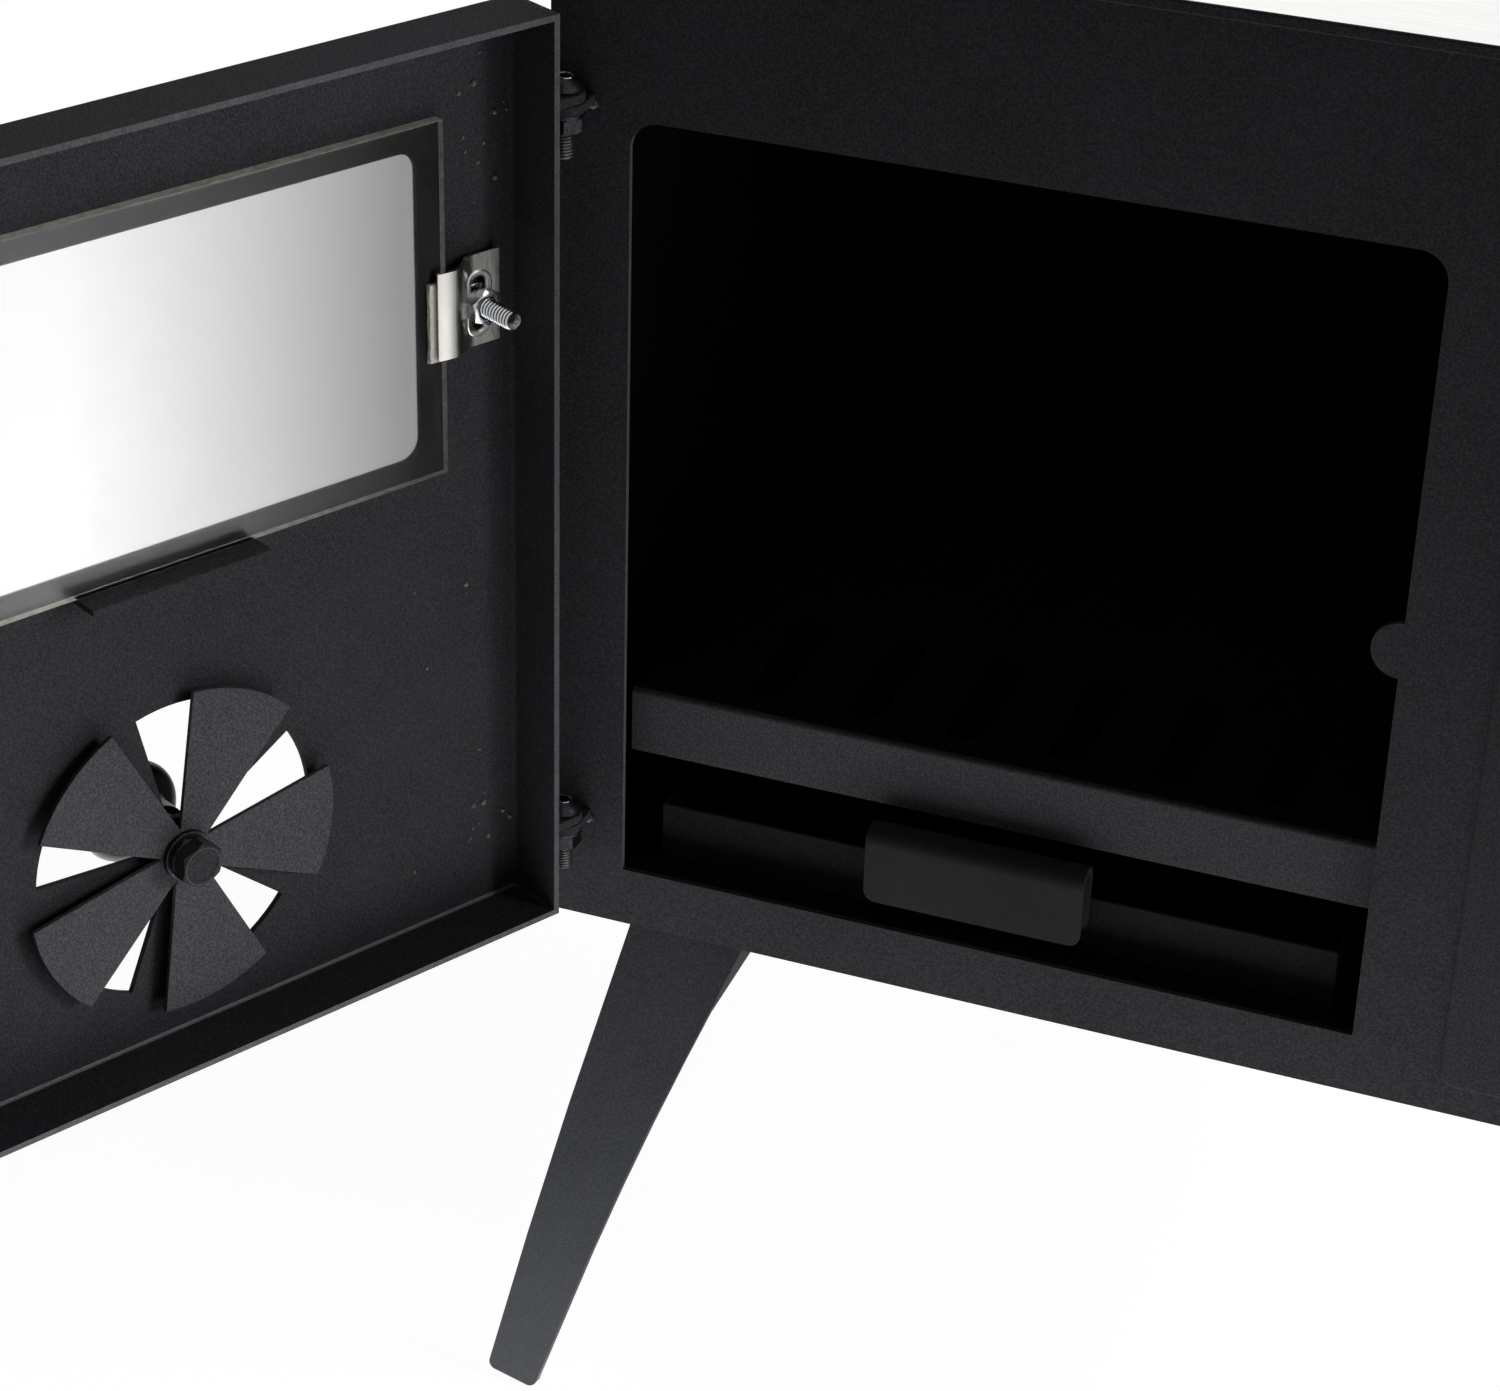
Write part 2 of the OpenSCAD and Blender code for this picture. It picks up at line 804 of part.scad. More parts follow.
module leg_nuts() {
    nut_h = 0.8 * stud_d;
    color(steel) seat_on_flue()
        at_each_stud() translate([0, 0, leg_plate_z - nut_h]) hex_nut(stud_d, nut_h);
}

// ---------- hinges ----------

// A lug round the hinge bolt, reaching to a face at distance reach along the child axis
module lug(reach, play) {
    difference() {
        union() {
            cylinder(r = lug_r, h = lug_t);
            translate([0, -lug_r, 0]) cube([reach, 2 * lug_r, lug_t]);
        }
        translate([0, 0, -over]) cylinder(d = hinge_bolt_d + 2 * play, h = lug_t + 2 * over);
    }
}

// Under each bolt head: the door's lug, the body's lug, a washer and the nut
lug_door_z = -slip - lug_t;
lug_body_z = lug_door_z - slip - lug_t;
washer_z = lug_body_z - washer_t;
hinge_nut_h = 0.8 * hinge_bolt_d;

module at_hinge(z) {
    seat_on_flue() translate([-hinge_x, -hinge_y, z]) children();
}

module body_lug(z) {
    color(paint) at_hinge(z) translate([0, 0, lug_body_z]) rotate([0, 0, 90]) lug(hinge_y, run_play);
}

module body_lug_upper() {
    body_lug(hinge_high);
}

module body_lug_lower() {
    body_lug(hinge_low);
}

module door_lug(z) {
    color(paint) on_door() translate([0, 0, z + lug_door_z]) lug(door_s, run_play);
}

module door_lug_upper() {
    door_lug(hinge_high);
}

module door_lug_lower() {
    door_lug(hinge_low);
}

module hinge_bolts() {
    color(dark) for (z = hinge_zs) at_hinge(z) {
        dome(hinge_head_d, hinge_head_h);
        translate([0, 0, -hinge_bolt_l]) cylinder(d = hinge_bolt_d, h = hinge_bolt_l);
    }
}

module hinge_washers() {
    color(dark) for (z = hinge_zs)
        at_hinge(z) translate([0, 0, washer_z]) washer(hinge_head_d, hinge_bolt_d, washer_t);
}

module hinge_nuts() {
    color(dark) for (z = hinge_zs)
        at_hinge(z) translate([0, 0, washer_z - hinge_nut_h]) hex_nut(hinge_bolt_d, hinge_nut_h);
}

// ---------- door ----------

module vent_sectors(r, angle, turn) {
    for (i = [0:vent_n - 1])
        pie(r, vent_phase + turn - angle / 2 + i * vent_step, vent_phase + turn + angle / 2 + i * vent_step);
}

module door_cutouts() {
    translate([window_s, window_z]) rounded_box_outline(window_w, window_h, window_r);
    translate([door_mid, vent_z]) {
        difference() {
            vent_sectors(vent_hole_r, hole_angle, 0);
            circle(vent_hub);
        }
        circle(vent_bolt_d / 2 + run_play);
    }
    translate([latch_s, keeper_z]) circle(latch_d / 2 + run_play);
    for (s = clip_bolt_ss()) translate([s, clip_z]) circle(clip_bolt_d / 2 + bolt_play);
}

function clip_bolt_ss() = [clip_bolt_s, 2 * door_mid - clip_bolt_s];

module door_panel() {
    color(paint) on_door()
        difference() {
            translate([door_s, outer_n, door_z]) cube([door_w, door_t + door_depth, door_h]);
            translate([door_s + door_t, panel_n, door_z + door_t])
                cube([door_w - 2 * door_t, door_depth + over, door_h - 2 * door_t]);
            upright(outer_n - over, door_t + 2 * over) door_cutouts();
        }
}

module window_glass() {
    color(glass_tint) on_door()
        translate([glass_s, panel_n, glass_z]) cube([glass_w, glass_t, glass_h]);
}

// A strip welded to the door panel on edge, which carries the glass
module glass_ledge() {
    color(paint) on_door()
        translate([door_mid - ledge_l / 2, panel_n, glass_z - ledge_t])
            cube([ledge_l, ledge_d, ledge_t]);
}

// The clip's section: s from the foot's outer end, n from the foot's lower face
function leaf_rise(t) = (clip_leaf_n - clip_foot_n) * min(1, 2 * t) + clip_bow * sin(180 * t);
function clip_edge(lift) = [for (i = [0:clip_steps])
    [clip_foot + clip_leaf * i / clip_steps, lift + leaf_rise(i / clip_steps)]];
function backwards(points) = [for (i = [len(points) - 1:-1:0]) points[i]];

module clip_profile() {
    polygon(concat([[0, 0]], clip_edge(0), backwards(clip_edge(clip_t)), [[0, clip_t]]));
}

module glass_clip() {
    foot_s = clip_bolt_s - clip_foot / 2;
    difference() {
        translate([foot_s, clip_foot_n, clip_z + clip_up - clip_h / 2])
            linear_extrude(clip_h) clip_profile();
        upright(clip_foot_n - over, clip_t + 2 * over)
            translate([clip_bolt_s, clip_z]) slot_outline(clip_bolt_d + 2 * bolt_play, clip_slot_l);
    }
}

// Repeats a child at the far end of the door, mirrored about the door's middle
module far_end() {
    translate([2 * door_mid, 0, 0]) mirror([1, 0, 0]) children();
}

module glass_clip_left() {
    color(steel) on_door() glass_clip();
}

module glass_clip_right() {
    color(steel) on_door() far_end() glass_clip();
}

module clip_pad() {
    leaf_end = clip_bolt_s + clip_foot / 2 + clip_leaf;
    translate([leaf_end - pad_w + pad_in, pad_n, clip_z + clip_up - clip_h / 2])
        cube([pad_w, pad_t, pad_h]);
}

module clip_pads() {
    color(fibre) on_door() {
        clip_pad();
        far_end() clip_pad();
    }
}

// Places a child on each clip bolt's axis, with +Z along n
module at_clip_bolts(n) {
    on_door() for (s = clip_bolt_ss()) translate([s, n, clip_z]) rotate([-90, 0, 0]) children();
}

module clip_bolts() {
    head_d = 2 * clip_bolt_d;
    head_h = 0.5 * clip_bolt_d;
    end_n = clip_foot_n + clip_t + clip_nut_h + clip_bolt_out;
    color(steel) at_clip_bolts(outer_n) {
        mirror([0, 0, 1]) dome(head_d, head_h);
        cylinder(d = clip_bolt_d, h = end_n - outer_n);
    }
}

module clip_washers() {
    color(steel) at_clip_bolts(panel_n) washer(2 * clip_bolt_d, clip_bolt_d, clip_washer_t);
}

module clip_nuts() {
    color(steel) at_clip_bolts(clip_foot_n + clip_t) hex_nut(clip_bolt_d, clip_nut_h);
}

// ---------- air vent ----------

// The vent's axis, with +Z along n
module on_vent(n) {
    on_door() translate([door_mid, n, vent_z]) rotate([-90, 0, 0]) children();
}

module vent_blades() {
    color(paint) on_door()
        difference() {
            upright(blade_n, blade_t) translate([door_mid, vent_z]) {
                vent_sectors(vent_r, blade_angle, vent_turn);
                circle(vent_washer_d / 2 + 0.5);
            }
            upright(blade_n - over, blade_t + 2 * over)
                translate([door_mid, vent_z]) circle(vent_bolt_d / 2 + run_play);
        }
}

module vent_bolt() {
    end_n = knob_n + knob_l - knob_grip;
    color(dark) {
        on_vent(vent_head_n) cylinder(d = hex_corner(vent_bolt_d), h = vent_head_h, $fn = 6);
        on_vent(end_n) cylinder(d = vent_bolt_d, h = vent_head_n - end_n);
    }
}

module vent_washer() {
    color(dark) on_vent(blade_n + blade_t) washer(vent_washer_d, vent_bolt_d, vent_washer_t);
}

module vent_spring_washer() {
    outer_d = 1.75 * vent_bolt_d;
    color(steel) on_vent(blade_n + blade_t + vent_washer_t)
        difference() {
            washer(outer_d, vent_bolt_d, vent_spring_t);
            rotate([0, 0, 60]) translate([0, -vent_spring_slit / 2, -over])
                cube([outer_d, vent_spring_slit, vent_spring_t + 2 * over]);
        }
}

module vent_spacer() {
    color(dark) on_vent(panel_n + slip)
        washer(hex_corner(vent_bolt_d), vent_bolt_d, blade_gap - slip);
}

module vent_nut() {
    color(dark) on_vent(vent_nut_n) hex_nut(vent_bolt_d, vent_nut_h);
}

// The knob's outline from its axis: a flat nose, a thick round rim and a neck against the nut
module knob_outline() {
    belly = knob_d / 2;
    neck = 0.56 * belly;
    nose = 0.62 * belly;
    rim = 0.21 * knob_l;
    foot = 0.62 * knob_l;
    polygon(concat([[0, 0]],
                   [for (a = [-90:10:90]) [nose + (belly - nose) * cos(a), rim * (1 + sin(a))]],
                   [[neck, foot], [neck, knob_l], [0, knob_l]]));
}

module vent_knob() {
    color(dark) on_vent(knob_n)
        difference() {
            rotate_extrude($fn = 64) knob_outline();
            translate([0, 0, knob_l - knob_grip])
                cylinder(d = vent_bolt_d + run_play, h = knob_grip + over);
        }
}

// ---------- latch ----------

module on_latch(n) {
    on_door() translate([latch_s, n, keeper_z]) rotate([-90, 0, 0]) children();
}

module latch_shaft() {
    start_n = outer_n - slip - boss_l - cap_nut_h + latch_end;
    end_n = finger_n + finger_t + latch_nut_h + latch_end;
    color(steel) on_latch(start_n) cylinder(d = latch_d, h = end_n - start_n);
}

// The finger hangs beside the handle: both point down while the door is unlatched
module latch_finger() {
    finger_r = latch_d / 2 + finger_rim;
    color(steel) on_door()
        difference() {
            upright(finger_n, finger_t) translate([latch_s, keeper_z]) {
                circle(finger_r);
                translate([-finger_w / 2, -finger_l]) square([finger_w, finger_l]);
            }
            upright(finger_n - over, finger_t + 2 * over)
                translate([latch_s, keeper_z]) circle(latch_d / 2 + run_play / 2);
        }
}

module latch_nut() {
    color(steel) on_latch(finger_n + finger_t) hex_nut(latch_d, latch_nut_h);
}

module latch_boss() {
    color(dark) difference() {
        on_latch(outer_n - slip - boss_l) cylinder(r = boss_r, h = boss_l);
        on_latch(outer_n - slip - boss_l - over)
            cylinder(d = latch_d + run_play, h = boss_l + 2 * over);
        on_handle(-latch_d / 2 - rod_seat - handle_l) cylinder(d = handle_rod_d + run_play, h = handle_l);
    }
}

module latch_cap_nut() {
    color(steel) on_latch(outer_n - slip - boss_l - cap_nut_h)
        difference() {
            union() {
                translate([0, 0, cap_nut_h / 2])
                    cylinder(d = hex_corner(latch_d), h = cap_nut_h / 2, $fn = 6);
                translate([0, 0, cap_nut_h / 2]) mirror([0, 0, 1]) dome(1.4 * latch_d, cap_nut_h / 2);
            }
            translate([0, 0, latch_end]) cylinder(d = latch_d + run_play, h = cap_nut_h);
        }
}

// The handle's rod hangs down in front of the door, with +Z up and 0 at the latch shaft
module on_handle(z) {
    on_door() translate([latch_s, handle_n, keeper_z + z]) children();
}

module handle_rod() {
    color(steel) on_handle(-handle_l + grip_floor)
        cylinder(d = handle_rod_d, h = handle_l - grip_floor - latch_d / 2 - rod_seat);
}

module handle_grip() {
    belly = grip_d / 2;
    color(dark) on_handle(-handle_l)
        difference() {
            rotate_extrude($fn = 64)
                polygon(concat([[0, 0]],
                               [for (t = [0:0.1:1]) [belly * (0.72 + 0.28 * sin(180 * (0.08 + 0.84 * t))),
                                                     grip_l * t]],
                               [[0, grip_l]]));
            translate([0, 0, grip_floor]) cylinder(d = handle_rod_d + run_play, h = grip_l);
        }
}

// ---------- the nodes ----------

front_plate();
left_side();
right_side();
back_plate();
ash_floor();
smoke_baffle();
top_frame();
hob_plate();
flue_collar();
collar_screws();
collar_nuts();
grate();
grate_rail_left();
grate_rail_right();
leg_front_left();
leg_front_right();
leg_rear_left();
leg_rear_right();
leg_studs();
leg_nuts();
body_lug_upper();
body_lug_lower();
hinge_bolts();
hinge_washers();
hinge_nuts();
door_panel();
door_lug_upper();
door_lug_lower();
window_glass();
glass_ledge();
glass_clip_left();
glass_clip_right();
clip_pads();
clip_bolts();
clip_washers();
clip_nuts();
vent_blades();
vent_bolt();
vent_washer();
vent_spring_washer();
vent_spacer();
vent_nut();
vent_knob();
latch_shaft();
latch_finger();
latch_nut();
latch_boss();
latch_cap_nut();
handle_rod();
handle_grip();
ash_drawer();
drawer_pull();
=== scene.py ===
"""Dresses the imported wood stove: folded sheet steel, real fasteners, welds, finishes, studio and camera."""

import logging
import math
import random
from collections.abc import Callable, Sequence
from dataclasses import dataclass
from enum import Enum

import bmesh
import bpy
from mathutils import Matrix, Vector


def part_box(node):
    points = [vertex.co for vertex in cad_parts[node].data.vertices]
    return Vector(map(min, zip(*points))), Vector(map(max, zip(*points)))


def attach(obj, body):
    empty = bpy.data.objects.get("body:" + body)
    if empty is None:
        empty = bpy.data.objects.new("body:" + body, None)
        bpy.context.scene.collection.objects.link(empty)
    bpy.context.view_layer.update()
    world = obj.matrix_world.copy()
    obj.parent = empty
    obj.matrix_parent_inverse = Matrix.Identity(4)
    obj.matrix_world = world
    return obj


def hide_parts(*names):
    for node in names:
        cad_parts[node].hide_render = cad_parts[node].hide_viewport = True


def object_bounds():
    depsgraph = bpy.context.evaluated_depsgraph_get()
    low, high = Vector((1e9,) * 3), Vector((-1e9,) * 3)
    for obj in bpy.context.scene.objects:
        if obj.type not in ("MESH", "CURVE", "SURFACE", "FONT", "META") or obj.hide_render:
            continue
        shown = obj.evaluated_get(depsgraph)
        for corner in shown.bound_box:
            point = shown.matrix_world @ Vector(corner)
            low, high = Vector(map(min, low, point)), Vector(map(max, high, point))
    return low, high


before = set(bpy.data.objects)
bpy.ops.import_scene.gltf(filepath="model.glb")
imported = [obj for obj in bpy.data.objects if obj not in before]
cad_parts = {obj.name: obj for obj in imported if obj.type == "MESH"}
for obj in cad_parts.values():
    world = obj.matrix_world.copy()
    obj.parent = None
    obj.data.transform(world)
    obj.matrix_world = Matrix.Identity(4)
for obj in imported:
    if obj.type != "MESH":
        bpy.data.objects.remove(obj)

LOG = logging.getLogger("stove")
MM = 0.001
CAD_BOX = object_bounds()
SHARP = math.radians(30)
# Cosine past which a face counts as facing a direction, and the same for one that may lean
FACING, LEANING = 0.9, 0.7
# Neighbouring faces that differ by less than this are one face
FLAT = math.radians(0.6)
# Two places closer than this are on one level
LEVEL = 0.01 * MM
# Faces across a round fold
FOLD_FACES = 4
# Round faces of hexagon nuts and heads, as shares of their width across the flats, and their chamfer's slope
NUT_FACE, HEAD_FACE = 0.475, 0.465
CHAMFER = math.tan(math.radians(28))
# Radius of the small face that closes a turned head at its axis
PIP = 0.1 * MM
# Attribute that is 0 off a thread, 0.2 on its crest and 1 in its groove
GROOVE = "groove"
# Distance between a weld's ripples
WELD_RIPPLE = 1.3 * MM
# Play between a thread and its nut's bore, on the radius
PLAY = 0.05 * MM


class Body(Enum):
    """The rigid bodies of the stove."""

    STOVE = "stove"
    DOOR = "door"
    VENT = "vent"
    LATCH = "latch"


# ---------- frames ----------


@dataclass(frozen=True)
class Axes:
    """A piece's own frame: lengths in metres along three directions from a starting point."""

    origin: Vector
    x: Vector
    y: Vector
    z: Vector

    @property
    def matrix(self) -> Matrix:
        """The matrix that takes this frame's coordinates to the stove's."""
        turned = Matrix((self.x, self.y, self.z)).transposed().to_4x4()
        return Matrix.Translation(self.origin) @ turned


DOOR_ANGLE = math.radians(118)
ALONG_DOOR = Vector((math.cos(DOOR_ANGLE), -math.sin(DOOR_ANGLE), 0))
INTO_STOVE = Vector((math.sin(DOOR_ANGLE), math.cos(DOOR_ANGLE), 0))
RIGHT, BACK, UP = Vector((1, 0, 0)), Vector((0, 1, 0)), Vector((0, 0, 1))
# The lower left corner of the firebox opening, and the hinge axis level with it
CORNER = Vector((-342.35, -165, -318.5)) * MM
STOVE_AXES = Axes(CORNER, RIGHT, BACK, UP)
HINGE_ORIGIN = CORNER + Vector((-17, -8.5, 0)) * MM
DOOR_AXES = Axes(HINGE_ORIGIN, ALONG_DOOR, INTO_STOVE, UP)
# The same, with Z along the door's fasteners
DOOR_BOLT_AXES = Axes(HINGE_ORIGIN, ALONG_DOOR, -UP, INTO_STOVE)


@dataclass(frozen=True)
class Box:
    """Lowest and highest corner of one solid, in some axes."""

    low: Vector
    high: Vector

    @property
    def middle(self) -> Vector:
        """The point halfway between the corners."""
        return (self.low + self.high) / 2

    @property
    def size(self) -> Vector:
        """The box's three lengths."""
        return self.high - self.low


def merged_copy(node: str) -> bmesh.types.BMesh:
    """A CAD node's mesh with its loose triangles joined.

    Args:
        node: name of the CAD node.

    Returns:
        The copy, still made of triangles.
    """
    solid = bmesh.new()
    solid.from_mesh(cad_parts[node].data)
    bmesh.ops.remove_doubles(solid, verts=solid.verts, dist=2e-6)
    return solid


def boxes(node: str, axes: Axes) -> list[Box]:
    """The boxes of a node's separate solids.

    Args:
        node: name of the CAD node.
        axes: frame in which the boxes are wanted.

    Returns:
        One box for each solid, from low to high Z and then X.
    """
    solid = merged_copy(node)
    back = axes.matrix.inverted()
    waiting = set(solid.verts)
    found = []
    while waiting:
        edge_of_search = [waiting.pop()]
        corners = []
        while edge_of_search:
            vert = edge_of_search.pop()
            corners.append(back @ vert.co)
            for edge in vert.link_edges:
                other = edge.other_vert(vert)
                if other in waiting:
                    waiting.remove(other)
                    edge_of_search.append(other)
        found.append(Box(Vector([min(c[i] for c in corners) for i in range(3)]),
                         Vector([max(c[i] for c in corners) for i in range(3)])))
    solid.free()
    return sorted(found, key=lambda b: (round(b.low.z, 5), round(b.low.x, 5), round(b.low.y, 5)))


# ---------- shader nodes ----------

NOISE = "ShaderNodeTexNoise"
RAMP = "ShaderNodeValToRGB"
RANGE = "ShaderNodeMapRange"
MIX = "ShaderNodeMix"
BUMP = "ShaderNodeBump"
MATH = "ShaderNodeMath"
MAPPING = "ShaderNodeMapping"
Colour = tuple[float, float, float, float]
Blank = tuple[bpy.types.Material, bpy.types.NodeTree, bpy.types.Node, bpy.types.NodeSocket]


def colour(text: str) -> Colour:
    """A written sRGB colour as linear numbers.

    Args:
        text: the colour as six hex digits.

    Returns:
        Red, green, blue and an alpha of 1, linear.
    """
    parts = [int(text[i:i + 2], 16) / 255 for i in (0, 2, 4)]
    linear = [p / 12.92 if p <= 0.04045 else ((p + 0.055) / 1.055) ** 2.4 for p in parts]
    return (linear[0], linear[1], linear[2], 1.0)


def grey(value: float) -> Colour:
    """A neutral linear colour."""
    return (value, value, value, 1.0)


def wire(tree: bpy.types.NodeTree, node: bpy.types.Node, inputs: dict[str | int, object]) -> None:
    """Sets or links a node's inputs.

    Args:
        tree: the node's tree.
        node: the node.
        inputs: for each input by name or number a value, an output, a node whose first output is meant,
            or a list of these for an input that takes many.
    """
    for key, given in inputs.items():
        for value in given if isinstance(given, list) else [given]:
            if isinstance(value, bpy.types.Node):
                value = value.outputs[0]
            if isinstance(value, bpy.types.NodeSocket):
                tree.links.new(value, node.inputs[key])
            else:
                node.inputs[key].default_value = value


def add(tree: bpy.types.NodeTree, kind: str, inputs: dict[str | int, object] | None = None,
        stops: Sequence[tuple[float, Colour]] = (), **settings: object) -> bpy.types.Node:
    """Adds a node with its settings and links.

    Args:
        tree: tree that gets the node.
        kind: the node's type.
        inputs: what wire gives its inputs.
        stops: place and colour of each stop, if the node has a colour band.
        settings: the node's own settings.

    Returns:
        The new node.
    """
    node = tree.nodes.new(kind)
    for name, value in settings.items():
        setattr(node, name, value)
    for i, (place, value) in enumerate(stops):
        band = node.color_ramp.elements
        element = band[i] if i < len(band) else band.new(place)
        element.position, element.color = place, value
    wire(tree, node, inputs or {})
    return node


def blank_material(name: str) -> Blank:
    """A material with a plain Principled shader.

    Args:
        name: the material's name.

    Returns:
        The material, its tree, its shader and the Object coordinates.
    """
    material = bpy.data.materials.new(name)
    material.use_nodes = True
    tree = material.node_tree
    coords = add(tree, "ShaderNodeTexCoord").outputs["Object"]
    return material, tree, tree.nodes["Principled BSDF"], coords


def on_thread(tree: bpy.types.NodeTree, base: bpy.types.Node, crest_highlight: str, groove_shade: str,
              share: float) -> bpy.types.NodeSocket:
    """Paints a highlight on a thread's crests and shade in its grooves.

    Args:
        tree: tree that gets the nodes.
        base: the colour off the thread.
        crest_highlight: the crests' colour, a painted highlight.
        groove_shade: the colour of the painted shade in the grooves.
        share: how much of it lies in the groove.

    Returns:
        The colour.
    """
    groove = add(tree, "ShaderNodeAttribute", attribute_name=GROOVE).outputs["Fac"]
    threaded = add(tree, RANGE, {"Value": groove, "From Min": 0.08, "From Max": 0.16})
    painted_highlight = add(tree, MIX, {0: threaded, 6: base, 7: colour(crest_highlight)}, data_type="RGBA")
    amount = add(tree, RANGE, {"Value": groove, "From Min": 0.45, "From Max": 0.8, "To Max": share})
    return add(tree, MIX, {0: amount, 6: painted_highlight.outputs[2], 7: colour(groove_shade)}, data_type="RGBA").outputs[2]


# ---------- finishes ----------


@dataclass(frozen=True)
class SprayedPaint:
    """Heat-resistant paint: silicone enamel, sprayed matte on sheet steel and baked.

    It gives the eye a near-black, very slightly blue ground with a fine sandy speckle, faint clouds
    where the coats overlap, and a dull sheen at a flat angle.
    """

    name: str = "matte_stove_paint"
    ground: str = "2e2f31"
    cloud: str = "35363a"
    speck: str = "6a6b6e"
    # Paint grain is about 0.2 mm across. It is drawn 0.7 mm, because finer would not show
    grain: float = 0.7 * MM
    clouds: float = 45 * MM
    roughness: float = 0.6
    sheen_level: float = 0.02
    speckle: float = 0.34
    # How far the roughness varies either way with the grain
    uneven: float = 0.06
    # Share of painted light from the floor, paler and bluish at the feet, and the heights over the ground
    # where it starts to thin and ends
    painted_floor_light: float = 0.0
    painted_floor_light_from: float = 20 * MM
    painted_floor_light_to: float = 150 * MM

    def make(self) -> bpy.types.Material:
        """Builds the material.

        Returns:
            The material.
        """
        material, tree, shader, coords = blank_material(self.name)
        grain = add(tree, NOISE, {"Vector": coords, "Scale": 1 / self.grain, "Detail": 2.0, "Roughness": 0.6})
        clouds = add(tree, NOISE, {"Vector": coords, "Scale": 1 / self.clouds, "Detail": 4.0,
                                   "Roughness": 0.6})
        ground = add(tree, RAMP, {"Fac": clouds}, [(0.3, colour(self.ground)), (0.72, colour(self.cloud))])
        fine = add(tree, RAMP, {"Fac": grain}, [(0.4, grey(0)), (0.75, grey(self.speckle))])
        # Paler and bluish towards the feet: painted light from the floor
        if self.painted_floor_light:
            height = add(tree, "ShaderNodeSeparateXYZ", {0: coords}).outputs["Z"]
            painted_gradient = add(tree, RANGE, {"Value": height, "From Min": CAD_BOX[0].z + self.painted_floor_light_to,
                                     "From Max": CAD_BOX[0].z + self.painted_floor_light_from, "To Max": self.painted_floor_light})
            ground = add(tree, MIX, {0: painted_gradient, 6: ground, 7: colour("9aa0a8")}, data_type="RGBA").outputs[2]
        mixed = add(tree, MIX, {0: fine, 6: ground, 7: colour(self.speck)}, data_type="RGBA").outputs[2]
        rough = add(tree, RANGE, {"Value": grain, "From Min": 0.3, "From Max": 0.7,
                                  "To Min": self.roughness + self.uneven,
                                  "To Max": self.roughness - self.uneven})
        relief = add(tree, BUMP, {"Height": grain, "Distance": 0.12 * MM, "Strength": 0.35})
        wire(tree, shader, {"Base Color": mixed, "Roughness": rough, "Normal": relief,
                            "Specular IOR Level": self.sheen_level})
        return material


@dataclass(frozen=True)
class BlackedFastener:
    """Black-oxide steel under the paint's overspray, satin.

    It gives the eye a darker, slightly glossier black than the sheet, with soft worn glints.
    """

    name: str = "black_oxide_steel"
    ground: str = "27282b"
    worn: str = "414144"
    # A painted highlight on a thread's crests, and painted shade in its grooves
    crest_highlight: str = "77777a"
    groove_shade: str = "0b0b0b"
    # The oxide's patches are finer than the picture can show, and drawn this wide
    patch: float = 0.7 * MM

    def make(self) -> bpy.types.Material:
        """Builds the material.

        Returns:
            The material.
        """
        material, tree, shader, coords = blank_material(self.name)
        patches = add(tree, NOISE, {"Vector": coords, "Scale": 1 / self.patch, "Detail": 3.0,
                                    "Roughness": 0.6})
        base = add(tree, RAMP, {"Fac": patches}, [(0.4, colour(self.ground)), (0.8, colour(self.worn))])
        rough = add(tree, RAMP, {"Fac": patches}, [(0.3, grey(0.5)), (0.75, grey(0.38))])
        relief = add(tree, BUMP, {"Height": patches, "Distance": 0.03 * MM, "Strength": 0.2})
        wire(tree, shader, {"Base Color": on_thread(tree, base, self.crest_highlight, self.groove_shade, 0.8),
                            "Roughness": rough, "Normal": relief, "Metallic": 1.0})
        return material


@dataclass(frozen=True)
class RolledSteel:
    """Bare, plated or stainless steel, rolled or brushed along one direction.

    It gives the eye a bright metal whose reflections are drawn out along fine streaks.
    """

    name: str
    light: str
    dark: str
    # Streaks are drawn this wide; real ones are finer than the picture can show
    streak: float
    reach: float
    smooth: float
    rough: float
    along: tuple[float, float, float] = (0, 0, 0)
    relief: float = 0.12
    # Painted shade in a thread's grooves; the crests get a painted highlight in the light colour
    groove_shade: str = "191817"
    # Width of the duller patches that handling leaves
    patch: float = 14 * MM

    def make(self) -> bpy.types.Material:
        """Builds the material.

        Returns:
            The material.
        """
        material, tree, shader, coords = blank_material(self.name)
        lines = add(tree, MAPPING, {"Vector": coords, "Scale": (self.reach, 1, 1), "Rotation": self.along},
                    vector_type="TEXTURE")
        streaks = add(tree, NOISE, {"Vector": lines, "Scale": 1 / self.streak, "Detail": 3.0,
                                    "Roughness": 0.6})
        patches = add(tree, NOISE, {"Vector": coords, "Scale": 1 / self.patch, "Detail": 3.0,
                                    "Roughness": 0.55})
        base = add(tree, RAMP, {"Fac": streaks}, [(0.35, colour(self.dark)), (0.65, colour(self.light))])
        spread = add(tree, MATH, {0: streaks, 1: patches}, operation="MULTIPLY")
        rough = add(tree, RANGE, {"Value": spread, "From Min": 0.15, "From Max": 0.4, "To Min": self.smooth,
                                  "To Max": self.rough})
        relief = add(tree, BUMP, {"Height": streaks, "Distance": 0.02 * MM, "Strength": self.relief})
        wire(tree, shader, {"Base Color": on_thread(tree, base, self.light, self.groove_shade, 0.95),
                            "Roughness": rough, "Normal": relief, "Metallic": 1.0})
        return material


